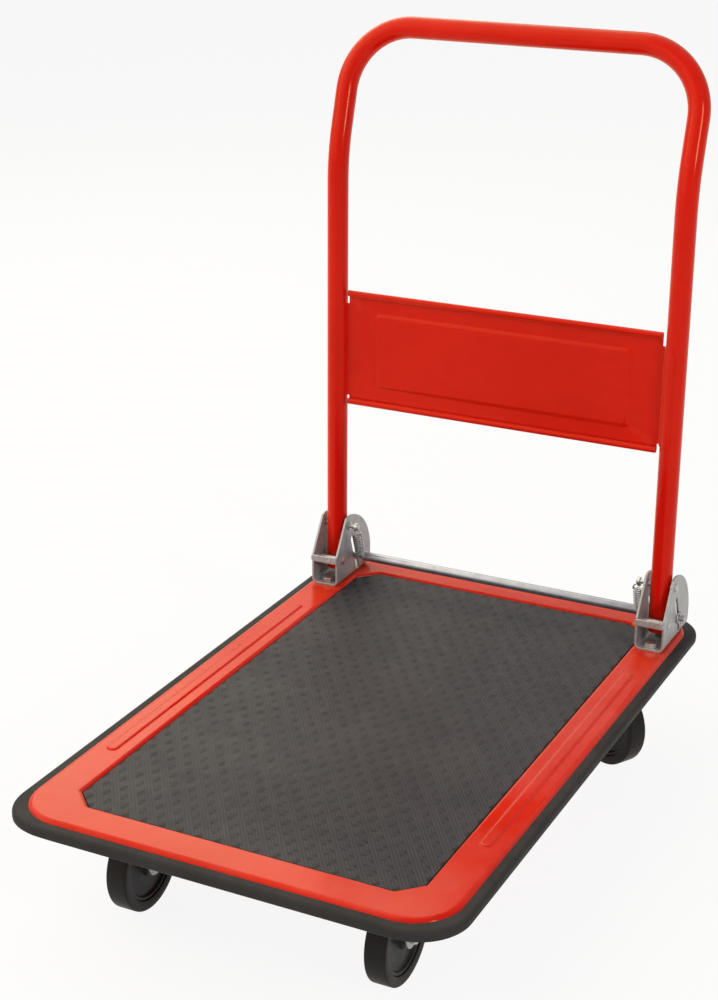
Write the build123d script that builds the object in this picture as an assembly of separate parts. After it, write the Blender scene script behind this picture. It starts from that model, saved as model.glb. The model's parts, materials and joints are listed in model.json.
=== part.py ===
from build123d import *
import os
from math import acos, atan2, cos, degrees, hypot, pi, radians, sin, sqrt

# Folding platform hand truck. Millimetres, +Z up, floor at z = 0.
# +X points forward, away from the handle; the deck is centred on the origin.

# Deck
deck_length = 740.0
deck_width = 474.0
deck_height = 134.0
bumper_reach = 10.0
bumper_corner_radius = 50.0
bumper_crown_drop = 3.0
bumper_crown_radius = 9.0
bumper_nose_drop = 12.3
bumper_groove_depth = 2.3
bumper_groove_height = 0.5
bumper_lip_reach = 8.3
bumper_chin_drop = 14.0
bumper_heel_reach = 1.2
bumper_bottom_drop = 19.6
bumper_hook_width = 4.5
bumper_seat_gap = 0.05
pan_thickness = 1.5
pan_depth = 18.0
pan_corner_radius = 51.0
pan_edge_radius = 7.0
bead_length = 404.0
bead_width = 12.0
bead_height = 1.6
bead_centre_x = 14.0
bead_centre_y = 204.0

# Mat in its recess
mat_length = 634.0
mat_width = 364.0
mat_chamfer = 21.0
mat_thickness = 3.0
mat_sink = 2.0
mat_edge_gap = 0.5
mat_rim_chamfer = 0.6
recess_slope_run = 3.0

# Handle
tube_radius = 12.0
tube_wall = 1.5
handle_x = -286.0
handle_y = 204.0
tail_height = 13.0
lean_corner_height = 515.5
lean_angle = 17.0
lean_length = 145.5
lean_bend_radius = 211.0
top_corner_radius = 76.5

# Panel between the handle's legs
panel_bottom = 223.5
panel_height = 137.0
panel_thickness = 1.2
panel_half_width = 188.5
panel_roll_radius = 3.5
panel_roll_bore = 2.2
panel_tab_bottom = 233.5
panel_tab_height = 111.0
panel_tab_past_front = 6.0
panel_tab_corner = 6.0
field_width = 310.0
field_height = 88.5
field_bottom = 247.5
field_rise = 2.6
field_slope_run = 3.5
field_corner = 5.0

# Hinge brackets
pivot_height = 68.0
bracket_width = 34.0
bracket_sheet = 2.5
bracket_bend_radius = 7.0
bracket_front_x = -252.5
bracket_rear_x = -342.5
ear_front_height = 38.0
ear_front_top = (-277.5, 79.5)
ear_crown_start = (-284.0, 81.5)
ear_crown_middle = (-325.0, 62.5)
ear_rear_height = 26.0
ear_heel_height = 10.0
ear_heel_run = 6.5
strap_bottom = 29.5
strap_height = 8.0
strap_thickness = 2.5
strap_corner = 2.5
stop_pin_height = 28.5
stop_pin_radius = 4.5
stop_pin_tenon_radius = 3.0
stop_pin_gap = 0.3
rivet_head_height = 1.2
pivot_pin_radius = 4.0
pivot_head_radius = 5.5
pivot_head_height = 2.5
pivot_collar_radius = 5.5
pivot_collar_length = 1.2
pivot_neck_radius = 2.8
pivot_tab_radius = 4.7
pivot_tab_y = 178.2
pivot_tab_thickness = 2.4
pivot_eye_drop = 4.0
pivot_eye_radius = 1.3
pivot_eye_lobe = 2.6
running_gap = 0.05
bracket_bolt_xs = (-262.0, -300.0)

# Release rod and its slots
slot_top = (-292.0, 53.0)
slot_bottom = (-310.0, 1.0)
slot_end_height = 8.0
slot_top_end_height = 49.0
slot_gap = 0.3
rod_height = 25.3
rod_radius = 5.5
rod_neck_radius = 3.5
rod_shoulder_y = 173.0
rod_end_reach = 8.5
rod_end_chamfer = 0.8
rod_washer_radius = 7.0
rod_washer_thickness = 1.6
rod_washer_gap = 0.4
cotter_radius = 0.9
cotter_eye_radius = 2.4
cotter_leg = 9.5
cotter_splay = 16.0

# Release springs
spring_y = 176.5
spring_lead = 5.0
spring_coil_radius = 4.25
spring_wire_radius = 0.75
spring_turns = 10.25
spring_coil_start = 15.5
spring_coil_length = 22.0
spring_ring_radius = 5.7
spring_ring_y = 177.2
spring_ring_drop = 9.5
spring_ring_past_top = 40.0
spring_hook_radius = 4.6
spring_hook_play = 0.1
spring_hook_rise = 30.0

# Casters and wheels
caster_y = 139.0
front_caster_x = 261.0
rear_caster_x = -249.0
caster_trail = 35.0
right_caster_heading = 60.7
left_caster_heading = 198.0
wheel_radius = 50.0
wheel_width = 22.0
tyre_edge_radius = 4.5
tyre_inner_radius = 39.0
tyre_seat_depth = 1.5
hub_rim_thickness = 4.0
hub_rim_width = 18.0
hub_web_thickness = 5.0
hub_boss_radius = 13.0
hub_boss_width = 24.0
sleeve_radius = 6.0
axle_radius = 4.0
fork_gap = 26.0
fork_sheet = 2.5
fork_tip_radius = 12.0
fixed_leg_half = 28.0
swivel_leg_front = 24.0
swivel_leg_rear = 22.0
plate_length = 84.0
plate_width = 64.0
plate_thickness = 2.5
plate_corner = 6.0
plate_bolt_x = 32.0
plate_bolt_y = 22.0
plate_top = 113.5
race_ball_radius = 2.0
race_ball_count = 12
race_ball_circle = 21.0
race_ball_play = 0.1
race_disc_radius = 26.0
race_disc_thickness = 1.5
race_skirt_radius = 29.0
race_skirt_wall = 1.5
race_skirt_overlap = 0.8
king_pin_radius = 5.0
king_head_radius = 9.0
king_head_height = 2.0
king_head_gap = 0.2

# Cross members under the pan
member_width = 90.0
member_flange = 12.0
member_sheet = 2.0
member_fold_radius = 3.0
member_half_length = 178.0

# Metric hardware of 8 mm size
bolt_radius = 4.0
bolt_hole_radius = 4.3
hex_across_flats = 13.0
bolt_head_height = 5.3
bolt_crown_inset = 0.4
nut_height = 6.5
bolt_past_nut = 2.0

# Worked-out heights and places
mat_top = deck_height - mat_sink
recess_floor = mat_top - mat_thickness
pan_bottom = deck_height - pan_depth
pan_length = deck_length - 2 * bumper_reach
pan_width = deck_width - 2 * bumper_reach
pan_ceiling = deck_height - pan_thickness
floor_underside = recess_floor - pan_thickness
recess_depth = deck_height - recess_floor
pivot_z = deck_height + pivot_height
ear_inner_y = handle_y - bracket_width / 2
ear_outer_y = handle_y + bracket_width / 2
slot_lean = (slot_bottom[0] - slot_top[0]) / (slot_bottom[1] - slot_top[1])
rod_x = slot_top[0] + slot_lean * (rod_height - slot_top[1])
rod_z = deck_height + rod_height
axle_z = wheel_radius
fork_top = plate_top - plate_thickness


def both_sides(piece):
    return {"right": piece, "left": mirror(piece, about=Plane.XZ)}


def group(solids):
    return Compound(children=list(solids))


def along_y(radius, start, end, x, z):
    bar = extrude(Circle(radius), end - start)
    return Pos(x, start, z) * Rot(-90, 0, 0) * bar


def hex_prism(across_flats, height):
    return extrude(RegularPolygon(across_flats / sqrt(3), 6), height)


def hex_bolt(length):
    # Head above z = 0 with a chamfered crown, shank below it
    head = hex_prism(hex_across_flats, bolt_head_height)
    crown_radius = hex_across_flats / 2 - bolt_crown_inset
    wide = crown_radius + hex_across_flats / 2
    crown = Cone(wide, crown_radius, wide - crown_radius, align=(Align.CENTER, Align.CENTER, Align.MAX))
    head = head & (Pos(0, 0, bolt_head_height) * crown)
    shank = extrude(Circle(bolt_radius), -length)
    return head + shank


def hex_nut():
    nut = hex_prism(hex_across_flats, nut_height)
    return nut - extrude(Circle(bolt_radius), nut_height)


# Deck pan, mat and bumper
def mat_outline(growth):
    half_length = mat_length / 2 + growth
    half_width = mat_width / 2 + growth
    cut = mat_chamfer + growth * (2 - sqrt(2))
    return Polygon(
        (half_length, half_width - cut),
        (half_length - cut, half_width),
        (cut - half_length, half_width),
        (-half_length, half_width - cut),
        (-half_length, cut - half_width),
        (cut - half_length, -half_width),
        (half_length - cut, -half_width),
        (half_length, cut - half_width),
        align=None,
    )


def recess_growth(z):
    return mat_edge_gap + recess_slope_run * (z - recess_floor) / recess_depth


def tapered_block(bottom, top, extra):
    low = Pos(0, 0, bottom) * mat_outline(recess_growth(bottom) + extra)
    high = Pos(0, 0, top) * mat_outline(recess_growth(top) + extra)
    return loft([low, high], ruled=True)


def rounded_tray(inset, bottom, top):
    plan = RectangleRounded(pan_length - 2 * inset, pan_width - 2 * inset, pan_corner_radius - inset)
    tray = Pos(0, 0, bottom) * extrude(plan, top - bottom)
    rim = tray.faces().sort_by(Axis.Z)[-1].edges()
    return fillet(rim, pan_edge_radius - inset)


def bead(inset, bottom):
    plan = SlotOverall(bead_length - 2 * inset, bead_width - 2 * inset)
    ridge = extrude(plan, bead_height)
    crown = ridge.faces().sort_by(Axis.Z)[-1].edges()
    ridge = fillet(crown, 0.8 * bead_height)
    return [Pos(bead_centre_x, side * bead_centre_y, bottom) * ridge for side in (-1, 1)]


def bracket_bolt_points():
    return [(x, side * handle_y) for x in bracket_bolt_xs for side in (-1, 1)]


def deck_pan():
    slope = recess_slope_run / recess_depth
    wall = pan_thickness * hypot(1, slope)
    hollow = rounded_tray(pan_thickness, pan_bottom, pan_ceiling)
    hollow -= tapered_block(floor_underside, pan_ceiling, wall)
    pan = rounded_tray(0, pan_bottom, deck_height)
    pan += bead(0, deck_height)
    pan -= tapered_block(recess_floor, deck_height, 0)
    pan -= hollow
    pan -= bead(pan_thickness, pan_ceiling)
    for x, y in bracket_bolt_points():
        pan -= Pos(x, y, deck_height) * Cylinder(bolt_hole_radius, 4 * pan_thickness)
    return pan


def deck_mat():
    sheet = Pos(0, 0, recess_floor) * extrude(mat_outline(0), mat_thickness)
    rim = sheet.faces().sort_by(Axis.Z)[-1].edges()
    return chamfer(rim, mat_rim_chamfer)


def bumper_plan(reach):
    # Outer corners hardly larger than the pan's, which leaves more rubber at the corners than along the sides
    return RectangleRounded(pan_length + 2 * reach, pan_width + 2 * reach, bumper_corner_radius)


def bumper_layer(reach, upper_drop, lower_drop):
    return Pos(0, 0, deck_height - lower_drop) * extrude(bumper_plan(reach), lower_drop - upper_drop)


def bumper_strip():
    # Built down from the crown: nose, groove, lip, sloping chin and the hook under the pan's skirt
    nose = bumper_layer(bumper_reach, bumper_crown_drop, bumper_nose_drop)
    nose = fillet(nose.faces().sort_by(Axis.Z)[-1].edges(), bumper_crown_radius)
    groove_bottom = bumper_nose_drop + bumper_groove_height
    groove = bumper_layer(bumper_reach - bumper_groove_depth, bumper_nose_drop, groove_bottom)
    lip = bumper_layer(bumper_lip_reach, groove_bottom, bumper_chin_drop)
    chin = loft(
        [
            Pos(0, 0, deck_height - bumper_bottom_drop) * bumper_plan(bumper_heel_reach),
            Pos(0, 0, deck_height - bumper_chin_drop) * bumper_plan(bumper_lip_reach),
        ],
        ruled=True,
    )
    inside = RectangleRounded(
        pan_length - 2 * bumper_hook_width,
        pan_width - 2 * bumper_hook_width,
        pan_corner_radius - bumper_hook_width,
    )
    strip = nose + groove + lip + chin
    strip -= rounded_tray(-bumper_seat_gap, pan_bottom, deck_height + bumper_seat_gap)
    return strip - Pos(0, 0, deck_height - bumper_bottom_drop) * extrude(inside, bumper_bottom_drop)


# Cross members that carry the casters
def cross_member(centre_x):
    half = member_width / 2
    height = floor_underside - plate_top
    inner = half - member_sheet
    lip = height - member_sheet
    right = [(half, 0), (half, lip), (half + member_flange, lip), (half + member_flange, height)]
    right += [(inner, height), (inner, member_sheet)]
    left = [(-x, z) for x, z in reversed(right)]
    section = make_face(Plane.XZ * Polyline(*right, *left, close=True))
    member = extrude(section, amount=member_half_length, both=True)
    member = Pos(centre_x, 0, plate_top) * member
    folds = member.edges().filter_by(Axis.Y).group_by(Axis.Z)[0]
    member = fillet(folds, member_fold_radius)
    for x, y in plate_bolts(centre_x):
        member -= Pos(x, y, plate_top) * Cylinder(bolt_hole_radius, 4 * member_sheet)
    return member


def all_plate_bolts():
    return plate_bolts(front_caster_x) + plate_bolts(rear_caster_x)


def plate_bolts(centre_x):
    spots = []
    for side in (-1, 1):
        for dx in (-plate_bolt_x, plate_bolt_x):
            for dy in (-plate_bolt_y, plate_bolt_y):
                spots.append((centre_x + dx, side * caster_y + dy))
    return spots


# Handle
def handle_tube():
    lean = radians(lean_angle)
    corner_z = deck_height + lean_corner_height
    bar_x = handle_x - lean_length * sin(lean)
    bar_z = corner_z + lean_length * cos(lean)
    tail_z = deck_height + tail_height
    route = FilletPolyline(
        (handle_x, -handle_y, tail_z),
        (handle_x, -handle_y, corner_z),
        (bar_x, -handle_y, bar_z),
        (bar_x, handle_y, bar_z),
        (handle_x, handle_y, corner_z),
        (handle_x, handle_y, tail_z),
        radius=[lean_bend_radius, top_corner_radius, top_corner_radius, lean_bend_radius],
    )
    ring = Circle(tube_radius) - Circle(tube_radius - tube_wall)
    tube = sweep(Pos(handle_x, -handle_y, tail_z) * ring, path=route)
    hole = along_y(pivot_pin_radius + running_gap, -2 * handle_y, 2 * handle_y, handle_x, pivot_z)
    return tube - hole


def panel_tab():
    # Right-hand tab: a strip of the sheet laid round the front of the tube, its free corners rounded
    reach = 30.0
    outer = CenterArc((0, 0), tube_radius + panel_thickness, -93, 93 + reach)
    inner = CenterArc((0, 0), tube_radius, -93, 93 + reach)
    sector = make_face(outer + inner + Line(outer @ 0, inner @ 0) + Line(outer @ 1, inner @ 1))
    wrap = extrude(sector, panel_tab_height)
    free_end = tube_radius * sin(radians(panel_tab_past_front))
    front = RectangleRounded(4 * tube_radius, panel_tab_height, panel_tab_corner)
    trim = extrude(Plane.YZ * front, 2 * tube_radius)
    tab = wrap & (Pos(-tube_radius / 2, free_end - 2 * tube_radius, panel_tab_height / 2) * trim)
    return Pos(handle_x, handle_y, deck_height + panel_tab_bottom) * tab


def raised_field(shift):
    wide = RectangleRounded(field_width, field_height, field_corner)
    narrow_width = field_width - 2 * field_slope_run
    narrow = RectangleRounded(narrow_width, field_height - 2 * field_slope_run, field_corner)
    return loft([Pos(0, 0, shift) * wide, Pos(0, 0, shift + field_rise) * narrow], ruled=True)


def handle_panel():
    # Drawn facing forward: local x across the truck, local y up, local z forward
    front = Plane(origin=(handle_x, 0, deck_height), x_dir=(0, 1, 0), z_dir=(1, 0, 0))
    middle = panel_bottom + panel_height / 2
    roll_offset = panel_height / 2 - panel_roll_radius
    half_sheet = panel_thickness / 2
    sheet = Rectangle(2 * panel_half_width, 2 * roll_offset)
    sheet += Pos(0, panel_tab_bottom + panel_tab_height / 2 - middle) * Rectangle(
        2 * (handle_y - tube_radius), panel_tab_height
    )
    panel = extrude(sheet, amount=half_sheet, both=True)
    field_shift = field_bottom + field_height / 2 - middle
    panel += Pos(0, field_shift, half_sheet) * raised_field(0)
    panel -= Pos(0, field_shift, -half_sheet) * raised_field(0)
    for side in (-1, 1):
        place = Pos(0, side * roll_offset, panel_roll_radius - half_sheet) * Rot(0, 90, 0)
        panel += place * Cylinder(panel_roll_radius, 2 * panel_half_width + 2)
        panel -= place * Cylinder(panel_roll_bore, 2 * panel_half_width + 4)
    panel = front * Pos(0, middle, 0) * panel
    tab = panel_tab()
    return panel + tab + mirror(tab, about=Plane.XZ)


# Hinge brackets
def ear_outline():
    heights = [deck_height + z for z in (0, ear_front_height, ear_front_top[1], ear_crown_start[1])]
    rear_z = deck_height + ear_rear_height
    front = Polyline(
        (bracket_front_x, heights[0]),
        (bracket_front_x, heights[1]),
        (ear_front_top[0], heights[2]),
        (ear_crown_start[0], heights[3]),
    )
    crown = ThreePointArc(
        (ear_crown_start[0], heights[3]),
        (ear_crown_middle[0], deck_height + ear_crown_middle[1]),
        (bracket_rear_x, rear_z),
    )
    heel = Polyline(
        (bracket_rear_x, rear_z),
        (bracket_rear_x, deck_height + ear_heel_height),
        (bracket_rear_x + ear_heel_run, deck_height),
        (bracket_front_x, deck_height),
    )
    return make_face(Plane.XZ * (front + crown + heel))


def channel(inset, floor):
    # Square-topped channel body with rounded lower folds, running along X
    tall = ear_crown_start[1] + 20
    width = bracket_width - 2 * inset
    body = Pos(0, tall / 2 + floor) * Rectangle(width, tall)
    folds = body.vertices().group_by(Axis.Y)[0]
    body = fillet(folds, bracket_bend_radius - inset)
    section = Plane.YZ * body
    run = bracket_front_x - bracket_rear_x
    return Pos(bracket_rear_x, handle_y, deck_height) * extrude(section, run)


def slot_cutter():
    top_x = slot_top[0] + slot_lean * (slot_top_end_height - slot_top[1])
    low_x = slot_top[0] + slot_lean * (slot_end_height - slot_top[1])
    length = hypot(top_x - low_x, slot_top_end_height - slot_end_height)
    tilt = degrees(atan2(top_x - low_x, slot_top_end_height - slot_end_height))
    width = 2 * (rod_neck_radius + slot_gap)
    plan = Rot(0, 0, 90 - tilt) * SlotCenterToCenter(length, width)
    cutter = extrude(Plane.XZ * plan, amount=bracket_width, both=True)
    middle_z = deck_height + (slot_top_end_height + slot_end_height) / 2
    return Pos((top_x + low_x) / 2, handle_y, middle_z) * cutter


def stop_pin_x():
    return handle_x + tube_radius + stop_pin_gap + stop_pin_radius


def hinge_bracket():
    bracket = channel(0, 0) - channel(bracket_sheet, bracket_sheet)
    side = extrude(ear_outline(), amount=2 * deck_width, both=True)
    bracket = bracket & side
    bracket -= slot_cutter()
    through = (ear_inner_y - 5, ear_outer_y + 5)
    bracket -= along_y(pivot_pin_radius, *through, handle_x, pivot_z)
    bracket -= along_y(stop_pin_tenon_radius, *through, stop_pin_x(), deck_height + stop_pin_height)
    for x in bracket_bolt_xs:
        bracket -= Pos(x, handle_y, deck_height) * Cylinder(bolt_hole_radius, 4 * bracket_sheet)
    return bracket


def hinge_strap():
    # Flat bar welded across the front edges of the two ears
    bar = RectangleRounded(bracket_width, strap_height, strap_corner)
    face_place = Plane(origin=(bracket_front_x, handle_y, 0), x_dir=(0, 1, 0), z_dir=(1, 0, 0))
    middle = deck_height + strap_bottom + strap_height / 2
    return face_place * Pos(0, middle, 0) * extrude(bar, strap_thickness)


def button_head(radius, height):
    # Low domed head on the XY plane
    disc = extrude(Circle(radius), height)
    return fillet(disc.faces().sort_by(Axis.Z)[-1].edges(), 0.7 * height)


def stop_pin():
    x = stop_pin_x()
    z = deck_height + stop_pin_height
    pin = along_y(stop_pin_radius, ear_inner_y + bracket_sheet, ear_outer_y - bracket_sheet, x, z)
    pin += along_y(stop_pin_tenon_radius, ear_inner_y, ear_outer_y, x, z)
    head = button_head(stop_pin_radius, rivet_head_height)
    pin += Pos(x, ear_outer_y, z) * Rot(-90, 0, 0) * head
    pin += Pos(x, ear_inner_y, z) * Rot(90, 0, 0) * head
    return pin


def pivot_pin():
    # Headed outside; its inner end is necked and flattened to a tab with an eye for the spring's ring
    collar_end = ear_inner_y - pivot_collar_length
    tab_start = pivot_tab_y - pivot_tab_thickness / 2
    pin = along_y(pivot_pin_radius, ear_inner_y, ear_outer_y, handle_x, pivot_z)
    head = button_head(pivot_head_radius, pivot_head_height)
    pin += Pos(handle_x, ear_outer_y, pivot_z) * Rot(-90, 0, 0) * head
    pin += along_y(pivot_collar_radius, collar_end, ear_inner_y, handle_x, pivot_z)
    pin += along_y(pivot_neck_radius, tab_start, collar_end, handle_x, pivot_z)
    lobe = Pos(0, -pivot_eye_drop) * Circle(pivot_eye_lobe)
    tab = make_hull(Circle(pivot_tab_radius).edges() + lobe.edges())
    tab -= Pos(0, -pivot_eye_drop) * Circle(pivot_eye_radius)
    tab_place = Plane(origin=(handle_x, tab_start, pivot_z), x_dir=(-1, 0, 0), z_dir=(0, 1, 0))
    return pin + tab_place * extrude(tab, pivot_tab_thickness)


def bracket_bolts():
    seat = deck_height + bracket_sheet
    length = seat - pan_ceiling + nut_height + bolt_past_nut
    return group(Pos(x, y, seat) * hex_bolt(length) for x, y in bracket_bolt_points())


def bracket_nuts():
    return group(Pos(x, y, pan_ceiling - nut_height) * hex_nut() for x, y in bracket_bolt_points())


# Release rod
def release_rod():
    neck_end = ear_inner_y + bracket_sheet
    rod = along_y(rod_radius, -rod_shoulder_y, rod_shoulder_y, rod_x, rod_z)
    rod += along_y(rod_neck_radius, -neck_end, neck_end, rod_x, rod_z)
    return rod


def rod_end():
    start = ear_outer_y - bracket_sheet
    end = ear_outer_y + rod_end_reach
    stub = along_y(rod_neck_radius, start, end, rod_x, rod_z)
    stub = chamfer(stub.faces().sort_by(Axis.Y)[-1].edges(), rod_end_chamfer)
    return stub - cotter_place() * Cylinder(cotter_radius, 4 * rod_neck_radius)


def rod_washer(inner_face):
    ring = Circle(rod_washer_radius) - Circle(rod_neck_radius)
    return Pos(rod_x, inner_face, rod_z) * Rot(-90, 0, 0) * extrude(ring, rod_washer_thickness)


def rod_washers():
    pieces = []
    for start in (rod_shoulder_y, ear_outer_y + rod_washer_gap):
        pieces += both_sides(rod_washer(start)).values()
    return group(pieces)


def cotter_place():
    y = ear_outer_y + rod_washer_gap + rod_washer_thickness + 2 * cotter_radius
    return Pos(rod_x, y, rod_z) * Rot(0, degrees(atan2(slot_lean, 1)), 0)


def cotter():
    # Split pin: round eye above the rod, legs spread apart below it
    eye_height = rod_neck_radius + cotter_eye_radius + cotter_radius
    bend = -rod_neck_radius - cotter_radius
    shank = extrude(Circle(cotter_radius), eye_height - cotter_eye_radius - bend)
    pin = Pos(0, 0, bend) * (shank + Sphere(cotter_radius))
    pin += Pos(0, 0, eye_height) * Rot(90, 0, 0) * Torus(cotter_eye_radius, cotter_radius)
    leg_radius = 0.7 * cotter_radius
    leg = extrude(Circle(leg_radius), -(cotter_leg + bend))
    for side in (-1, 1):
        pin += Pos(0, 0, bend) * Rot(0, side * cotter_splay, 0) * leg
    return cotter_place() * pin


# Release springs
def unit(vector):
    return vector / vector.length


def biarc(start, start_way, end, end_way):
    # Two arcs that leave start along start_way and meet end along end_way
    chord = end - start
    ways = start_way + end_way
    a = 2 * (1 - start_way.dot(end_way))
    b = 2 * chord.dot(ways)
    c = -chord.dot(chord)
    reach = -c / b if abs(a) < 1e-9 else (-b + sqrt(b * b - 4 * a * c)) / (2 * a)
    first = start + start_way * reach
    second = end - end_way * reach
    middle = (first + second) * 0.5
    middle_way = unit(second - first)
    return [
        TangentArc(start, middle, tangent=start_way),
        TangentArc(middle, end, tangent=middle_way),
    ]


def spring_axis():
    # Unit vector up the spring, from the rod to the pivot pin
    return unit(Vector(handle_x - rod_x, 0, pivot_z - rod_z))


def coil_point(turn):
    # Place and heading on the coil, counted in turns from its lower end, next to the bracket's ear
    up = spring_axis()
    ahead = Vector(up.Z, 0, -up.X)
    inward = Vector(0, -1, 0)
    pitch = spring_coil_length / spring_turns
    angle = 2 * pi * turn - pi / 2
    depth = spring_coil_start + spring_coil_length - pitch * turn
    centre = Vector(handle_x, spring_y, pivot_z) - up * depth + ahead * spring_lead
    place = centre + (ahead * cos(angle) + inward * sin(angle)) * spring_coil_radius
    way = (inward * cos(angle) - ahead * sin(angle)) * (2 * pi * spring_coil_radius) + up * pitch
    return place, unit(way)


def coil_spans():
    spans = []
    quarter_turns = round(4 * spring_turns)
    for quarter in range(quarter_turns):
        spans += biarc(*coil_point(quarter / 4), *coil_point((quarter + 1) / 4))
    return spans


def ring_spans():
    # The last turn opens into an upright ring that passes through the eye of the pivot pin's tab
    centre = Vector(handle_x, spring_ring_y, pivot_z - spring_ring_drop)
    side = centre + Vector(0, -spring_ring_radius, 0)

    def rim(past_top):
        angle = radians(past_top)
        return centre + Vector(0, sin(angle), cos(angle)) * spring_ring_radius

    spans = biarc(*coil_point(spring_turns), side, Vector(0, 0, 1))
    spans.append(ThreePointArc(side, rim(-45), rim(0)))
    spans.append(ThreePointArc(rim(0), rim(spring_ring_past_top / 2), rim(spring_ring_past_top)))
    return spans


def hook_spans():
    # From the hook's free end in front of the rod, under it and up its back to the coil
    up = spring_axis()
    ahead = Vector(up.Z, 0, -up.X)
    slack = spring_hook_radius - spring_wire_radius - rod_neck_radius - spring_hook_play
    centre = Vector(rod_x, spring_y, rod_z) + up * slack

    def rim(angle):
        return centre + (ahead * cos(radians(angle)) + up * sin(radians(angle))) * spring_hook_radius

    spans = [
        ThreePointArc(rim(spring_hook_rise), rim(0), rim(-30)),
        ThreePointArc(rim(-30), rim(-90), rim(-180)),
    ]
    return spans + biarc(rim(-180), up, *coil_point(0))


def release_spring():
    spans = hook_spans() + coil_spans() + ring_spans()
    route = Wire([span.edge() for span in spans])
    start = spans[0].edge()
    section = Plane(origin=start @ 0, z_dir=start % 0) * Circle(spring_wire_radius)
    report_gap(route)
    return sweep(section, path=route)


def report_gap(route):
    # Least clear distance between stretches of the wire that are over a half turn apart
    count = 600
    step = route.length / count
    apart = int(pi * spring_coil_radius / step) + 1
    points = [route @ (i / count) for i in range(count + 1)]
    least = min(
        (points[j] - points[i]).length
        for i in range(count + 1)
        for j in range(i + apart, count + 1)
    )
    print(f"release spring: least gap between wires {least - 2 * spring_wire_radius:.2f} mm")


# Casters, drawn with the axle at local x = trail, y = 0
def leg_outline(trail, top, front, rear):
    # Side view of a fork leg: round tip about the axle, straight flanks up to the top edge
    def flank(corner, side):
        dx = corner[0] - trail
        dz = corner[1] - axle_z
        turn = acos(fork_tip_radius / hypot(dx, dz))
        angle = atan2(dz, dx) + side * turn
        return (trail + fork_tip_radius * cos(angle), axle_z + fork_tip_radius * sin(angle))

    front_corner = (front, top)
    rear_corner = (rear, top)
    front_touch = flank(front_corner, -1)
    rear_touch = flank(rear_corner, 1)
    tip = ThreePointArc(rear_touch, (trail, axle_z - fork_tip_radius), front_touch)
    sides = Polyline(front_touch, front_corner, rear_corner, rear_touch)
    return make_face(Plane.XZ * (tip + sides))


def fork_legs(trail, top, front, rear):
    leg = extrude(leg_outline(trail, top, front, rear), amount=fork_sheet / 2, both=True)
    offset = (fork_gap + fork_sheet) / 2
    legs = Pos(0, offset, 0) * leg + Pos(0, -offset, 0) * leg
    return legs - along_y(axle_radius + running_gap, -2 * offset, 2 * offset, trail, axle_z)


def mounting_plate():
    plate = extrude(RectangleRounded(plate_length, plate_width, plate_corner), plate_thickness)
    for dx in (-plate_bolt_x, plate_bolt_x):
        for dy in (-plate_bolt_y, plate_bolt_y):
            plate -= Pos(dx, dy, 0) * Cylinder(bolt_hole_radius, 4 * plate_thickness)
    return Pos(0, 0, fork_top) * plate


def fixed_fork():
    web = Box(2 * fixed_leg_half, fork_gap, fork_sheet)
    web = Pos(0, 0, fork_top - fork_sheet / 2) * web
    return fork_legs(0, fork_top, fixed_leg_half, -fixed_leg_half) + web + mounting_plate()


def race_floor():
    return fork_top - 2 * race_ball_radius


def swivel_plate():
    skirt = Circle(race_skirt_radius) - Circle(race_skirt_radius - race_skirt_wall)
    skirt_depth = 2 * race_ball_radius + race_skirt_overlap
    plate = mounting_plate()
    plate += Pos(0, 0, fork_top - skirt_depth) * extrude(skirt, skirt_depth)
    return plate - Pos(0, 0, fork_top) * Cylinder(king_pin_radius, 4 * plate_thickness)


def swivel_fork():
    web_top = race_floor() - race_disc_thickness
    disc = Pos(0, 0, web_top) * extrude(Circle(race_disc_radius), race_disc_thickness)
    web = Box(2 * swivel_leg_rear, fork_gap, fork_sheet)
    web = Pos(0, 0, web_top - fork_sheet / 2) * web
    fork = fork_legs(caster_trail, web_top, swivel_leg_front, -swivel_leg_rear) + web + disc
    bore = king_pin_radius + running_gap
    return fork - Pos(0, 0, web_top) * Cylinder(bore, 6 * fork_sheet)


def king_pin():
    # Riveted in the plate, its lower head holds the fork up
    low = race_floor() - race_disc_thickness - fork_sheet - king_head_gap
    pin = Pos(0, 0, low) * extrude(Circle(king_pin_radius), plate_top - low)
    head = Rot(180, 0, 0) * button_head(king_head_radius, king_head_height)
    return pin + Pos(0, 0, low) * head


def race_balls():
    radius = race_ball_radius - race_ball_play
    ball = Sphere(radius)
    ring = PolarLocations(race_ball_circle, race_ball_count)
    return [Pos(0, 0, race_floor() + radius) * place * ball for place in ring]


def tyre():
    depth = wheel_radius - tyre_inner_radius
    section = Pos(tyre_inner_radius + depth / 2, 0) * Rectangle(depth, wheel_width)
    outer = section.vertices().group_by(Axis.X)[-1]
    section = fillet(outer, tyre_edge_radius)
    seat = Pos(tyre_inner_radius + tyre_seat_depth / 2, 0) * Rectangle(tyre_seat_depth, hub_rim_width)
    return spin(section - seat)


def hub():
    rim_outer = tyre_inner_radius + tyre_seat_depth
    rim_inner = rim_outer - hub_rim_thickness
    rim = Pos((rim_outer + rim_inner) / 2, 0) * Rectangle(rim_outer - rim_inner, hub_rim_width)
    web_depth = rim_inner - hub_boss_radius + 2
    web = Pos((rim_inner + hub_boss_radius) / 2, 0) * Rectangle(web_depth, hub_web_thickness)
    bore = sleeve_radius + running_gap
    boss = Pos((hub_boss_radius + bore) / 2, 0) * Rectangle(hub_boss_radius - bore, hub_boss_width)
    return spin(rim + web + boss)


def spin(section):
    # Revolves a section drawn as (radius, width) about the wheel's axle
    turned = revolve(section, axis=Axis.Y)
    return Pos(0, 0, axle_z) * turned


def axle_sleeve():
    return along_ring(sleeve_radius, axle_radius + running_gap, fork_gap)


def along_ring(outer, inner, length):
    ring = extrude(Circle(outer) - Circle(inner), length / 2, both=True)
    return Pos(0, 0, axle_z) * Rot(90, 0, 0) * ring


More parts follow.
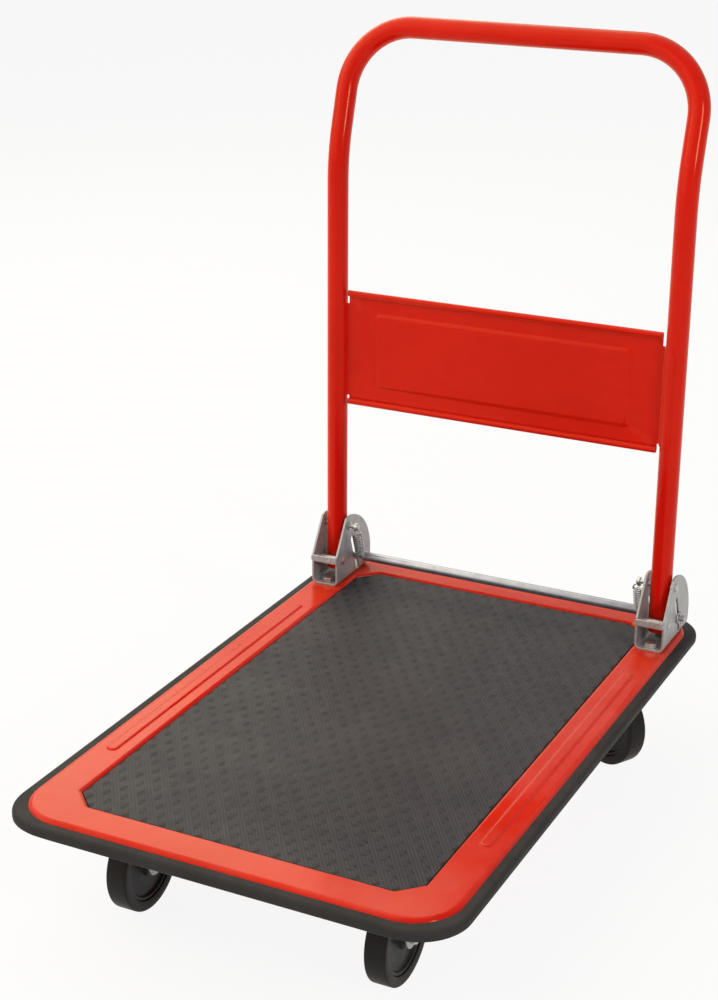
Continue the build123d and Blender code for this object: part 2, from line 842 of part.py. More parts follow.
def axle_bolt():
    grip = fork_gap + 2 * fork_sheet
    bolt = hex_bolt(grip + nut_height + bolt_past_nut)
    return Pos(0, grip / 2, axle_z) * Rot(-90, 0, 0) * bolt


def axle_nut():
    grip = fork_gap + 2 * fork_sheet
    return Pos(0, -grip / 2 - nut_height, axle_z) * Rot(-90, 0, 0) * hex_nut()


def caster_bolts():
    length = plate_thickness + member_sheet + nut_height + bolt_past_nut
    bolt = Rot(180, 0, 0) * hex_bolt(length)
    return group(Pos(x, y, fork_top) * bolt for x, y in all_plate_bolts())


def caster_nuts():
    seat = plate_top + member_sheet
    return group(Pos(x, y, seat) * hex_nut() for x, y in all_plate_bolts())


# All the nodes, by name
nodes = {
    "deck_pan": deck_pan(),
    "deck_mat": deck_mat(),
    "bumper_strip": bumper_strip(),
    "front_cross_member": cross_member(front_caster_x),
    "rear_cross_member": cross_member(rear_caster_x),
    "handle_tube": handle_tube(),
    "handle_panel": handle_panel(),
    "bracket_bolts": bracket_bolts(),
    "bracket_nuts": bracket_nuts(),
    "release_rod": release_rod(),
    "rod_ends": group(both_sides(rod_end()).values()),
    "rod_washers": rod_washers(),
    "rod_cotters": group(both_sides(cotter()).values()),
    "caster_bolts": caster_bolts(),
    "caster_nuts": caster_nuts(),
}

hinge_pieces = {
    "hinge_bracket": hinge_bracket(),
    "hinge_strap": hinge_strap(),
    "stop_pin": stop_pin(),
    "pivot_pin": pivot_pin(),
    "release_spring": release_spring(),
}
for name, piece in hinge_pieces.items():
    for side, copy in both_sides(piece).items():
        nodes[f"{name}_{side}"] = copy

wheel_pieces = {
    "wheel_tyre": tyre(),
    "wheel_hub": hub(),
    "axle_sleeve": axle_sleeve(),
    "axle_bolt": axle_bolt(),
    "axle_nut": axle_nut(),
}
fork = fixed_fork()
swivel_pieces = {
    "swivel_plate": swivel_plate(),
    "king_pin": king_pin(),
}
turning_fork = swivel_fork()
headings = {"left": left_caster_heading, "right": right_caster_heading}
for side, sign in (("left", -1), ("right", 1)):
    front_place = Pos(front_caster_x, sign * caster_y, 0)
    nodes[f"fixed_fork_{side}"] = front_place * fork
    for name, piece in wheel_pieces.items():
        nodes[f"front_{name}_{side}"] = front_place * piece
    rear_place = Pos(rear_caster_x, sign * caster_y, 0)
    for name, piece in swivel_pieces.items():
        nodes[f"{name}_{side}"] = rear_place * piece
    turned_place = rear_place * Rot(0, 0, headings[side])
    nodes[f"swivel_fork_{side}"] = turned_place * turning_fork
    nodes[f"swivel_balls_{side}"] = group(turned_place * ball for ball in race_balls())
    for name, piece in wheel_pieces.items():
        nodes[f"rear_{name}_{side}"] = turned_place * Pos(caster_trail, 0, 0) * piece

os.makedirs("parts", exist_ok=True)
for name, piece in nodes.items():
    export_step(piece, f"parts/{name}.step")
print(f"{len(nodes)} nodes")
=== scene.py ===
import bpy
import bmesh
import json
from math import acos, atan2, cos, floor, hypot, inf, pi, radians, sin, sqrt, tan
from mathutils import Matrix, Vector


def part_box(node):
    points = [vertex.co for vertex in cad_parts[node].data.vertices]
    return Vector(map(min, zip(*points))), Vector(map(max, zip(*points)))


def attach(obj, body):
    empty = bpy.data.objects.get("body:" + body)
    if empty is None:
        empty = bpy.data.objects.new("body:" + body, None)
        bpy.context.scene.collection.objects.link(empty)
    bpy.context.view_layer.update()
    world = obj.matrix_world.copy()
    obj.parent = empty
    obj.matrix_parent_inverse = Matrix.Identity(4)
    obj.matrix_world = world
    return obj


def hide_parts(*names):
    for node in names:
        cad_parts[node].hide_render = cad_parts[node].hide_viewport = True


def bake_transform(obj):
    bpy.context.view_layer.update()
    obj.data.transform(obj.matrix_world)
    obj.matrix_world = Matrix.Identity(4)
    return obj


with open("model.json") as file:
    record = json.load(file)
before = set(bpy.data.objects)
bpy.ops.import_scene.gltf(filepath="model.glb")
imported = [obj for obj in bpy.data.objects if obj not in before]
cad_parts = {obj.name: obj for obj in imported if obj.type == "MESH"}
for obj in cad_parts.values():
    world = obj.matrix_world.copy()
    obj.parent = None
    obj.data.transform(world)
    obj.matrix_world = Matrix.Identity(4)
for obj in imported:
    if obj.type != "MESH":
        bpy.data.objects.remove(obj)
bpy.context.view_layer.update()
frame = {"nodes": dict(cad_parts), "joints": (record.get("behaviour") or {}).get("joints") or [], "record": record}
joints = {joint["name"]: joint for joint in frame["joints"]}
sides = {"right": 1, "left": -1}
mm = 0.001  # pieces are drawn in millimetres and scaled once, in makePiece


# finishes: node groups that several materials share

class NodeDesk:  # short ways to add and wire nodes in one tree
    def __init__(self, tree):
        self.tree = tree

    def add(self, kind, inputs=None, **settings):
        node = self.tree.nodes.new(kind)
        for key, value in settings.items():
            setattr(node, key, value)
        for key, value in (inputs or {}).items():
            self.feed(node.inputs[key], value)
        return node

    def feed(self, socket, value):
        if isinstance(value, bpy.types.NodeSocket):
            self.tree.links.new(value, socket)
        else:
            socket.default_value = value

    def math(self, operation, first, second=0.0):
        return self.add("ShaderNodeMath", {0: first, 1: second}, operation=operation).outputs[0]

    def weigh(self, first, second, share):
        # first counts for its share, second for the rest
        return self.math("ADD", self.math("MULTIPLY", first, share), self.math("MULTIPLY", second, 1 - share))

    def spread(self, value, low, high, toLow=0.0, toHigh=1.0):
        inputs = {"Value": value, "From Min": low, "From Max": high, "To Min": toLow, "To Max": toHigh}
        return self.add("ShaderNodeMapRange", inputs, clamp=True).outputs["Result"]

    def mix(self, factor, first, second):
        return self.add("ShaderNodeMix", {"Factor": factor, 6: first, 7: second}, data_type="RGBA").outputs[2]

    def spot(self):
        return self.add("ShaderNodeTexCoord").outputs["Object"]

    def noise(self, vector, scale, detail=3.0, roughness=0.55):
        inputs = {"Vector": vector, "Scale": scale, "Detail": detail, "Roughness": roughness}
        return self.add("ShaderNodeTexNoise", inputs).outputs["Fac"]

    def group(self, name, *inputs):
        return self.add("ShaderNodeGroup", dict(enumerate(inputs)), node_tree=groups[name]).outputs


def mottle(desk, given):
    # slow drift between two close colours, with a finer one on top
    spot = desk.spot()
    slow = desk.noise(spot, given["Scale"], 2.0)
    fine = desk.noise(spot, desk.math("MULTIPLY", given["Scale"], 9.0), 4.0)
    drift = desk.spread(desk.weigh(slow, fine, 0.7), 0.38, 0.62)
    return [desk.mix(drift, given["Colour A"], given["Colour B"])]


def surfaceGrain(desk, given):
    # fine surface relief for bump, and the gloss changes that go with it
    spot = desk.spot()
    relief = desk.noise(spot, given["Scale"], 2.0, 0.5)
    broad = desk.noise(spot, desk.math("MULTIPLY", given["Scale"], 0.04))
    both = desk.weigh(relief, broad, 0.35)
    return relief, desk.spread(both, 0.35, 0.65, given["Gloss Low"], given["Gloss High"])


def drawnLines(desk, given):
    # lines left by rolling or drawing, stretched along one direction
    spot = desk.spot()
    pulled = desk.add("ShaderNodeVectorMath", {0: spot, 1: given["Stretch"]}, operation="MULTIPLY").outputs[0]
    lines = desk.noise(pulled, 1.0, 4.0, 0.6)
    both = desk.weigh(lines, desk.noise(spot, 60.0), 0.55)
    rough = desk.spread(both, 0.35, 0.65, given["Gloss Low"], given["Gloss High"])
    return lines, rough, desk.spread(both, 0.38, 0.64)


def edgeWear(desk, given):
    # mask of the outer edges, broken up so that it reads as light handling wear
    ridge = desk.add("ShaderNodeNewGeometry").outputs["Pointiness"]
    broken = desk.spread(desk.noise(desk.spot(), given["Breakup Scale"], 5.0, 0.65), 0.4, 0.62)
    mask = desk.math("MULTIPLY", desk.spread(ridge, given["Start"], given["Full"]), broken)
    return [desk.math("MULTIPLY", mask, given["Amount"])]


def settledDust(desk, given):
    # thin dust that settles on faces that look up
    normal = desk.add("ShaderNodeNewGeometry").outputs["Normal"]
    upward = desk.spread(desk.add("ShaderNodeSeparateXYZ", {0: normal}).outputs["Z"], 0.5, 0.98)
    cloud = desk.spread(desk.noise(desk.spot(), given["Scale"], 5.0, 0.6), 0.42, 0.68)
    return [desk.math("MULTIPLY", desk.math("MULTIPLY", upward, cloud), given["Amount"])]


def makeGroup(wire, inputs, outputs):
    # the group is named after the function that wires it, which returns one socket for each output
    group = bpy.data.node_groups.new(wire.__name__, "ShaderNodeTree")
    for label, value in inputs.items():
        kind = "Float" if isinstance(value, float) else "Color" if len(value) == 4 else "Vector"
        socket = group.interface.new_socket(label, in_out="INPUT", socket_type="NodeSocket" + kind)
        socket.default_value = value
    for label in outputs:
        kind = "Color" if label == "Colour" else "Float"
        group.interface.new_socket(label, in_out="OUTPUT", socket_type="NodeSocket" + kind)
    desk = NodeDesk(group)
    made = wire(desk, desk.add("NodeGroupInput").outputs)
    desk.add("NodeGroupOutput", dict(zip(outputs, made)))
    return group


groups = {wire.__name__: makeGroup(wire, inputs, outputs) for wire, inputs, outputs in (
    (mottle, {"Colour A": (0.5, 0.5, 0.5, 1), "Colour B": (0.4, 0.4, 0.4, 1), "Scale": 20.0}, ["Colour"]),
    (surfaceGrain, {"Scale": 800.0, "Gloss Low": 0.2, "Gloss High": 0.3}, ["Height", "Roughness"]),
    (drawnLines, {"Stretch": (900.0, 30.0, 900.0), "Gloss Low": 0.25, "Gloss High": 0.4},
     ["Height", "Roughness", "Streaks"]),
    (edgeWear, {"Start": 0.53, "Full": 0.62, "Breakup Scale": 120.0, "Amount": 1.0}, ["Mask"]),
    (settledDust, {"Amount": 0.1, "Scale": 12.0}, ["Mask"]),
)}

cells = {    # cross-barred cells of the mat, on a staggered grid
    "period": (28.6, 20.2),
    "half": (5.6, 3.2),
    "shadeFade": (0.95, 0.36),      # how deep the painted shade in the cells is at the -y edge and at the +y edge
    "shadeFadeReach": 180.0,
    "grid": (14, 12),          # cells from the middle to each end
    "margin": 8.0,             # searched beside a rib
}


def cellShadeMask(desk):
    # painted shade in the mat's cells: 1 inside the cells, then scaled down from the -y edge to the +y edge
    axes = desk.add("ShaderNodeSeparateXYZ", {0: desk.spot()}).outputs
    found = []
    for shift in (0.0, 0.5):
        away = []
        for axis, period, half in zip("XY", cells["period"], cells["half"]):
            turns = desk.math("ADD", desk.math("DIVIDE", axes[axis], period * mm), 0.5 + shift)
            offset = desk.math("SUBTRACT", desk.math("FRACT", turns), 0.5)
            reach = desk.math("MULTIPLY", offset, period / half)
            away.append(desk.math("MULTIPLY", reach, reach))
        found.append(desk.spread(desk.math("ADD", *away), 1.3, 0.5))
    edge = cells["shadeFadeReach"] * mm
    shadeFade = desk.spread(axes["Y"], -edge, edge, *cells["shadeFade"])
    return desk.math("MULTIPLY", desk.math("MAXIMUM", *found), shadeFade)


def makeLook(name, plain, tones, gloss, bump, grain=None, stretch=None, wear=None, paintedCellShade=None, dust=None,
             dustDulls=False):
    # plain socket values go on the shader itself; tones, wear and dust list what their groups take
    material = bpy.data.materials.new(name)
    material.use_nodes = True
    desk = NodeDesk(material.node_tree)
    shader = material.node_tree.nodes["Principled BSDF"].inputs
    for label, value in plain.items():
        shader[label].default_value = value
    colour = desk.group("mottle", *tones)["Colour"]
    if stretch:
        relief = desk.group("drawnLines", stretch, *gloss)
        colour = desk.mix(relief["Streaks"], colour, tones[1])
    else:
        relief = desk.group("surfaceGrain", grain, *gloss)
    rough = relief["Roughness"]
    if wear:
        shade, *values = wear
        colour = desk.mix(desk.group("edgeWear", *values)["Mask"], colour, shade)
    if paintedCellShade:
        # painted shade: the mat's cells are darkened towards their shade colour
        colour = desk.mix(cellShadeMask(desk), colour, paintedCellShade)
    if dust:
        shade, *values = dust
        veil = desk.group("settledDust", *values)["Mask"]
        colour = desk.mix(veil, colour, shade)
        rough = desk.math("ADD", rough, veil) if dustDulls else rough
    strength, depth = bump
    raised = desk.add("ShaderNodeBump", {"Height": relief["Height"], "Strength": strength, "Distance": depth})
    for label, value in (("Base Color", colour), ("Roughness", rough), ("Normal", raised.outputs["Normal"])):
        desk.feed(shader[label], value)
    return material


def rubber(name, base, light, shine, gloss, grain):
    return {
        "name": name, "plain": {"Specular IOR Level": shine}, "tones": (base, light, 18.0), "gloss": gloss,
        "bump": (0.12, 0.0003), "grain": grain, "wear": ((0.13, 0.125, 0.12, 1), 0.55, 0.7, 160.0, 0.5),
        "dust": ((0.25, 0.24, 0.22, 1), 0.06, 20.0),
    }


def plated(name, dark, light, bare, stretch, gloss):
    return {
        "name": name, "plain": {"Metallic": bare, "Specular IOR Level": 0.3}, "tones": (dark, light, 70.0),
        "gloss": gloss, "bump": (0.08, 0.0002), "stretch": stretch,
        "wear": ((0.82, 0.82, 0.83, 1), 0.53, 0.66, 240.0, 0.6),
    }


finishes = {
    "red_paint": {
        "name": "redPowderCoat",
        "plain": {"Specular IOR Level": 0.24, "Specular Tint": (1.0, 0.7, 0.35, 1), "Sheen Weight": 0.4,
                  "Sheen Roughness": 0.35, "Sheen Tint": (1.0, 0.85, 0.12, 1)},
        "tones": ((0.69, 0.0045, 0.0028, 1), (0.75, 0.0075, 0.0045, 1), 7.0),
        "grain": 420.0,
        "gloss": (0.13, 0.2),
        "bump": (0.05, 0.0006),
        "wear": ((0.78, 0.05, 0.035, 1), 0.56, 0.72, 90.0, 1.0),
        "dust": ((0.7, 0.5, 0.45, 1), 0.05, 16.0),
        "dustDulls": True,
    },
    "mat_rubber": {
        "name": "matRubber",
        "plain": {"Specular IOR Level": 0.2},
        "tones": ((0.042, 0.0395, 0.0468, 1), (0.052, 0.0494, 0.0575, 1), 5.0),
        "grain": 1500.0,
        "gloss": (0.46, 0.62),
        "bump": (0.25, 0.0003),
        # colour of the painted shade in the mat's cells
        "paintedCellShade": (0.021, 0.0196, 0.0206, 1),
        "dust": ((0.2, 0.19, 0.18, 1), 0.07, 5.5),
    },
    "bumper_rubber": rubber("bumperRubber", (0.036, 0.0333, 0.0340, 1), (0.043, 0.0400, 0.0408, 1),
                            0.08, (0.5, 0.62), 1100.0),
    "tyre_rubber": rubber("tyreRubber", (0.017, 0.0155, 0.0145, 1), (0.024, 0.0225, 0.021, 1),
                          0.12, (0.42, 0.56), 900.0),
    "hub_plastic": rubber("hubPlastic", (0.015, 0.0145, 0.014, 1), (0.021, 0.020, 0.0195, 1),
                          0.12, (0.34, 0.46), 1600.0),
    "dark_paint": {
        "name": "blackMemberPaint",
        "plain": {"IOR": 1.5},
        "tones": ((0.018, 0.018, 0.019, 1), (0.03, 0.03, 0.031, 1), 24.0),
        "grain": 600.0,
        "gloss": (0.3, 0.45),
        "bump": (0.1, 0.0004),
        "wear": ((0.2, 0.2, 0.2, 1), 0.54, 0.7, 110.0, 0.4),
    },
    "zinc_sheet": plated("zincSheet", (0.33, 0.327, 0.323, 1), (0.45, 0.447, 0.443, 1),
                         0.5, (140.0, 900.0, 900.0), (0.4, 0.56)),
    "zinc_hardware": plated("zincHardware", (0.38, 0.377, 0.373, 1), (0.53, 0.527, 0.522, 1),
                            0.82, (500.0, 500.0, 500.0), (0.26, 0.4)),
    "spring_steel": plated("springWire", (0.35, 0.35, 0.36, 1), (0.48, 0.48, 0.495, 1),
                           0.86, (400.0, 400.0, 400.0), (0.25, 0.36)),
    "ball_steel": plated("bearingBall", (0.5, 0.5, 0.5, 1), (0.6, 0.6, 0.6, 1),
                         1.0, (300.0, 300.0, 300.0), (0.1, 0.2)),
    "rod_steel": plated("brightBar", (0.31, 0.316, 0.35, 1), (0.43, 0.439, 0.488, 1),
                        0.86, (1100.0, 25.0, 1100.0), (0.3, 0.42)),
}
looks = {slot: makeLook(**finish) for slot, finish in finishes.items()}
print("finishes:", len(looks))


# mesh helpers, all in millimetres

def boxMm(node):
    low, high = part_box(node)
    return low / mm, high / mm


def jointMm(name):
    return Vector(joints[name]["pos_m"]) / mm


def shares(steps):
    return [k / steps for k in range(steps + 1)]


def arc(centre, radius, start, end, steps):
    # flat points on a circle, from one angle to another
    x, y = centre
    turns = [start + (end - start) * share for share in shares(steps)]
    return [(x + radius * cos(turn), y + radius * sin(turn)) for turn in turns]


def rounding(radius, steps):
    # how far in and how far down a rounded rim runs, from its flat side on
    turns = [share * pi / 2 for share in shares(steps)]
    return [(radius * (1 - sin(turn)), radius * (1 - cos(turn))) for turn in turns]


def roundCorners(points, radii, steps=6, closed=False):
    # a line of points with its corners turned into arcs; works in two and three dimensions
    line = [Vector(point) for point in points]
    count = len(line)
    reach = 0.499    # of each side, so that the arcs of neighbouring corners don't meet
    if not hasattr(radii, "__len__"):
        radii = [radii] * count
    smooth = []
    for i, here in enumerate(line):
        back = line[i - 1] - here
        ahead = line[(i + 1) % count] - here
        atEnd = not closed and i in (0, count - 1)
        if atEnd or radii[i] <= 0 or back.angle(ahead) > pi - 1e-4:
            smooth.append(here)
            continue
        angle = back.angle(ahead)
        cut = min(radii[i] / tan(angle / 2), reach * back.length, reach * ahead.length)
        back.normalize()
        ahead.normalize()
        centre = here + (back + ahead).normalized() * (cut / cos(angle / 2))
        start = here + back * cut - centre
        end = here + ahead * cut - centre
        sweep = pi - angle
        for t in shares(steps):
            smooth.append(centre + (start * sin((1 - t) * sweep) + end * sin(t * sweep)) / sin(sweep))
    return smooth


def roundedRing(halfX, halfY, radius, steps=10):
    # corner arcs of a rounded rectangle, counter-clockwise, as flat points
    points = []
    for k, (sx, sy) in enumerate(((1, 1), (-1, 1), (-1, -1), (1, -1))):
        centre = (halfX - radius) * sx, (halfY - radius) * sy
        points += arc(centre, radius, k * pi / 2, (k + 1) * pi / 2, steps)
    return points


def slotOutline(first, last, width, steps=8):
    # long hole or bead with round ends
    a, b = Vector(first), Vector(last)
    angle = atan2(b.y - a.y, b.x - a.x)
    rounds = (b, angle - pi / 2), (a, angle + pi / 2)
    return [centre + Vector(spoke) * (width / 2) for centre, start in rounds
            for spoke in arc((0, 0), 1, start, start + pi, steps)]


def lift(points, z):
    return [Vector((x, y, z)) for x, y in points]


def circle(radius, height, steps):
    turns = [2 * pi * k / steps for k in range(steps)]
    return [Vector((radius * cos(turn), radius * sin(turn), height)) for turn in turns]


def addRing(bm, points):
    return [bm.verts.new(point) for point in points]


def bridge(bm, first, second):
    count = len(first)
    for i in range(count):
        j = (i + 1) % count
        bm.faces.new((first[i], first[j], second[j], second[i]))


def loft(bm, rings, capStart=False, capEnd=False, ring=False):
    # skin over a row of rings, open, capped or joined up with its start
    made = [addRing(bm, points) for points in rings]
    for first, second in zip(made, made[1:] + made[:1] if ring else made[1:]):
        bridge(bm, first, second)
    if capStart:
        bm.faces.new(list(reversed(made[0])))
    if capEnd:
        bm.faces.new(made[-1])
    return made


def lathe(bm, profile, steps, place, ring=False):
    # turns a line of (radius, height) about local Z; a ring is a closed section off the axis
    rings = [[place @ point for point in circle(radius, height, steps)] for radius, height in profile]
    loft(bm, rings, not ring, not ring, ring)
    return bm


def addSleeve(bm, inner, outer, low, high, rim, place, steps=56, rimSteps=3):
    # straight ring with rounded rims
    section = [(inner, low), (outer, low), (outer, high), (inner, high)]
    return lathe(bm, roundCorners(section, rim, rimSteps, True), steps, place, True)


def tubeRings(route, radius, count):
    # rings round a route, carried along without twist
    way = (route[1] - route[0]).normalized()
    normal = way.orthogonal().normalized()
    rings = []
    for i, point in enumerate(route):
        way = (route[min(i + 1, len(route) - 1)] - route[max(i - 1, 0)]).normalized()
        normal = (normal - way * normal.dot(way)).normalized()
        across = way.cross(normal)
        rings.append([point + normal * spoke.x + across * spoke.y for spoke in circle(radius, 0, count)])
    return rings


def fillBetween(bm, loops):
    # flat face bounded by the first loop, open inside the others
    edges = []
    for loop in loops:
        for pair in zip(loop, loop[1:] + loop[:1]):
            edges.append(bm.edges.get(pair) or bm.edges.new(pair))
    bmesh.ops.triangle_fill(bm, use_beauty=True, use_dissolve=False, edges=edges)


def sliceAt(bm, axis, values, weld=0.05, sliver=0.02):
    # extra edges across a flat sheet, where it is going to bend
    normal = Vector((0, 0, 0))
    normal[axis] = 1
    for value in values:
        geometry = bm.verts[:] + bm.edges[:] + bm.faces[:]
        bmesh.ops.bisect_plane(bm, geom=geometry, plane_co=normal * value, plane_no=normal, dist=1e-5)
    bmesh.ops.remove_doubles(bm, verts=bm.verts, dist=weld)
    bmesh.ops.dissolve_degenerate(bm, dist=sliver, edges=bm.edges)


def faceOut(bm, way):
    # turns an open sheet so that its base looks up (1) or down (-1)
    bmesh.ops.recalc_face_normals(bm, faces=bm.faces)
    bm.normal_update()
    base = max(bm.faces, key=lambda face: abs(face.normal.z) * face.calc_area())
    if base.normal.z * way < 0:
        bmesh.ops.reverse_faces(bm, faces=bm.faces)


def settle(piece):
    # bakes the piece's modifiers into its mesh
    bpy.context.view_layer.update()
    graph = bpy.context.evaluated_depsgraph_get()
    final = bpy.data.meshes.new_from_object(piece.evaluated_get(graph))
    old = piece.data
    piece.modifiers.clear()
    piece.data = final
    bpy.data.meshes.remove(old)
    final.name = piece.name


def makePiece(bm, name, slot, body, nodes=(), sharp=38, sheet=0.0, sheetOffset=-1.0, bevel=0.0,
              even=False, keepFacing=False, blendTo=None):
    if not keepFacing:
        bmesh.ops.recalc_face_normals(bm, faces=bm.faces)
    bmesh.ops.scale(bm, vec=(mm, mm, mm), verts=bm.verts)
    mesh = bpy.data.meshes.new(name)
    bm.to_mesh(mesh)
    bm.free()
    piece = bpy.data.objects.new(name, mesh)
    bpy.context.scene.collection.objects.link(piece)
    if sheet:
        thicken = piece.modifiers.new("sheet", "SOLIDIFY")
        thicken.thickness = sheet * mm
        thicken.offset = sheetOffset
    if bevel:
        rims = piece.modifiers.new("rims", "BEVEL")
        rims.width = bevel * mm
        rims.segments = 2
        rims.limit_method = "ANGLE"
        rims.angle_limit = radians(50)
        rims.use_clamp_overlap = False
    if sheet or bevel:
        settle(piece)
    piece.data.polygons.foreach_set("use_smooth", [True] * len(piece.data.polygons))
    piece.data.set_sharp_from_angle(angle=radians(sharp))
    if even:
        weighted = piece.modifiers.new("evenShading", "WEIGHTED_NORMAL")
        weighted.keep_sharp = True
        settle(piece)
    piece.data.materials.clear()
    piece.data.materials.append(looks[slot])
    if blendTo:
        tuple(blendTo["start"])
        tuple(blendTo["end"])
        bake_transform(piece)
    else:
        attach(piece, body)
    if nodes:
        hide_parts(*nodes)


def bothSides(build, name, slot, body, node, **settings):
    # drawn for the right-hand side and mirrored for the left
    for side in sides:
        bm = build()
        if side == "left":
            bmesh.ops.scale(bm, vec=(1, -1, 1), verts=bm.verts)
            bmesh.ops.reverse_faces(bm, faces=bm.faces)
        makePiece(bm, f"{name}_{side}", slot, body, [f"{node}_{side}"], **settings)


def alongY(x, y, z, way=1):
    # local Z turned to point along +Y or -Y
    return Matrix.Translation((x, y, z)) @ Matrix.Rotation(-way * pi / 2, 4, "X")


# deck

pan = {
    "cornerRadius": 51.0,
    "edgeRadius": 7.0,
    "sheet": 1.5,
    "beadHeight": 1.6,
    "beadLength": 404.0,
    "beadWidth": 12.0,
    "beadCentre": (14.0, 204.0),
    "beadProfile": [(-1.6, 0.0), (-0.9, 0.03), (-0.3, 0.2), (0.1, 0.55), (0.5, 1.0), (1.1, 1.36),
                    (2.0, 1.55), (3.2, 1.6)],
    "matChamfer": 21.0,
    "recessProfile": [(5.2, 0.0), (4.3, 0.1), (3.3, 0.42), (2.4, 1.0), (1.6, 1.75), (1.0, 2.6), (0.75, 3.6),
                      (0.5, 4.7), (0.1, 5.0)],
    "recessCorner": 3.0,
}


def matOutline(growth):
    high = boxMm("deck_mat")[1]
    halfX, halfY = high.x + growth, high.y + growth
    cut = pan["matChamfer"] + growth * (2 - sqrt(2))
    quarter = [(halfX, halfY - cut), (halfX - cut, halfY)]
    points = quarter + [(-x, y) for x, y in reversed(quarter)]
    return points + [(-x, -y) for x, y in points]


def buildPan():
    low, high = boxMm("deck_pan")
    top = high.z - pan["beadHeight"]
    bm = bmesh.new()
    skirt = [(inset, top - drop) for inset, drop in rounding(pan["edgeRadius"], 8)] + [(0.0, low.z)]
    outer = loft(bm, [lift(roundedRing(high.x - inset, high.y - inset, pan["cornerRadius"] - inset), z)
                      for inset, z in skirt])
    recess = loft(bm, [lift(roundCorners(matOutline(growth), pan["recessCorner"], 3, True), top - drop)
                       for growth, drop in pan["recessProfile"]], capEnd=True)
    loops = [outer[0], recess[0]]
    x, y = pan["beadCentre"]
    width = pan["beadWidth"]
    reach = (pan["beadLength"] - width) / 2
    for way in sides.values():
        ends = (x - reach, way * y), (x + reach, way * y)
        rings = [lift(slotOutline(*ends, width - 2 * inset, 12), top + rise)
                 for inset, rise in pan["beadProfile"]]
        loops.append(loft(bm, rings, capEnd=True)[0])
    fillBetween(bm, loops)
    faceOut(bm, 1)
    makePiece(bm, "pan_shell", "red_paint", "deck", ["deck_pan"],
              sheet=pan["sheet"], even=True, keepFacing=True)


mat = {
    "rim": 0.3,
    "edgeGap": 0.35,
    "ribAngle": 35.0,      # from the truck's length
    "ribPitch": 3.27,
    "ribHeight": 0.1,
    "shortRow": 4.0,       # shorter rows, ribs and bars are left out
    "shortRib": 3.0,
    "shortBar": 2.8,
    "overrun": 3.0,        # past the rim, where the ribs are cut off
    "barPitch": 2.5,
    "barHeight": 0.07,
    "barLength": 6.4,
    "outerBars": 0.72,     # share of that length
    "barInset": 2.5,
    "levels": [(1.25, 0.0), (0.95, 0.62), (0.42, 1.0)],   # half width, share of the height
}


def clipLine(start, way, outline):
    # first and last distance along a line inside a convex outline
    near, far = -inf, inf
    for i, corner in enumerate(outline):
        edge = Vector(outline[(i + 1) % len(outline)]) - Vector(corner)
        inward = Vector((-edge.y, edge.x))
        offset = inward.dot(Vector(corner) - start)
        speed = inward.dot(way)
        if speed > 0:
            near = max(near, offset / speed)
        elif speed < 0:
            far = min(far, offset / speed)
    return near, far


def cellsAlong(start, way, near, far):
    # stretches of a line that run through the cells
    stretches = []
    (periodX, periodY), (halfX, halfY) = cells["period"], cells["half"]
    middle = start + way * ((near + far) / 2)
    reachX = abs(way.x) * (far - near) / 2 + periodX
    reachY = halfY + cells["margin"]
    d = Vector((way.x / halfX, way.y / halfY))
    for shift in (0.0, 0.5):
        for i in range(floor((middle.x - reachX) / periodX), floor((middle.x + reachX) / periodX) + 1):
            x = (i + shift) * periodX
            guess = start.y + way.y * (x - start.x) / way.x
            for j in range(floor((guess - reachY) / periodY - shift), floor((guess + reachY) / periodY) + 2):
                y = (j + shift) * periodY
                p = Vector(((start.x - x) / halfX, (start.y - y) / halfY))
                b = p.dot(d) / d.length_squared
                inside = b * b - (p.length_squared - 1) / d.length_squared
                if inside > 0:
                    stretches.append((-b - sqrt(inside), -b + sqrt(inside)))
    return sorted(stretches)


def addBar(bm, start, way, near, far, z, height, field):
    # one raised bar with sloping flanks and ends, cut off along the rim of the field
    across = Vector((-way.y, way.x))
    rings = []
    for half, share in mat["levels"]:
        slip = mat["levels"][0][0] - half
        ring = []
        for along, side in ((near + slip, -1), (far - slip, -1), (far - slip, 1), (near + slip, 1)):
            root = start + across * (side * half)
            first, last = clipLine(root, way, field)
            spot = root + way * min(max(along, first), last)
            ring.append((spot.x, spot.y, z + height * share))
        rings.append(ring)
    loft(bm, rings, capEnd=True)


def addCrossBars(bm, high, ground, way):
    # three short bars in every cell
    across = Vector((-way.y, way.x))
    field = matOutline(-mat["edgeGap"] - mat["barInset"])
    (periodX, periodY), (columns, rows) = cells["period"], cells["grid"]
    grid = [Vector(((i + shift) * periodX, (j + shift) * periodY)) for shift in (0.0, 0.5)
            for i in range(-columns, columns + 1) for j in range(-rows, rows + 1)]
    for centre in grid:
        if abs(centre.x) > high.x or abs(centre.y) > high.y:
            continue
        for step in (-1, 0, 1):
            start = centre + across * (step * mat["barPitch"])
            half = mat["barLength"] / 2 * (mat["outerBars"] if step else 1)
            near, far = clipLine(start, way, field)
            near, far = max(near, -half), min(far, half)
            if far - near > mat["shortBar"]:
                addBar(bm, start, way, near, far, ground, mat["barHeight"], field)


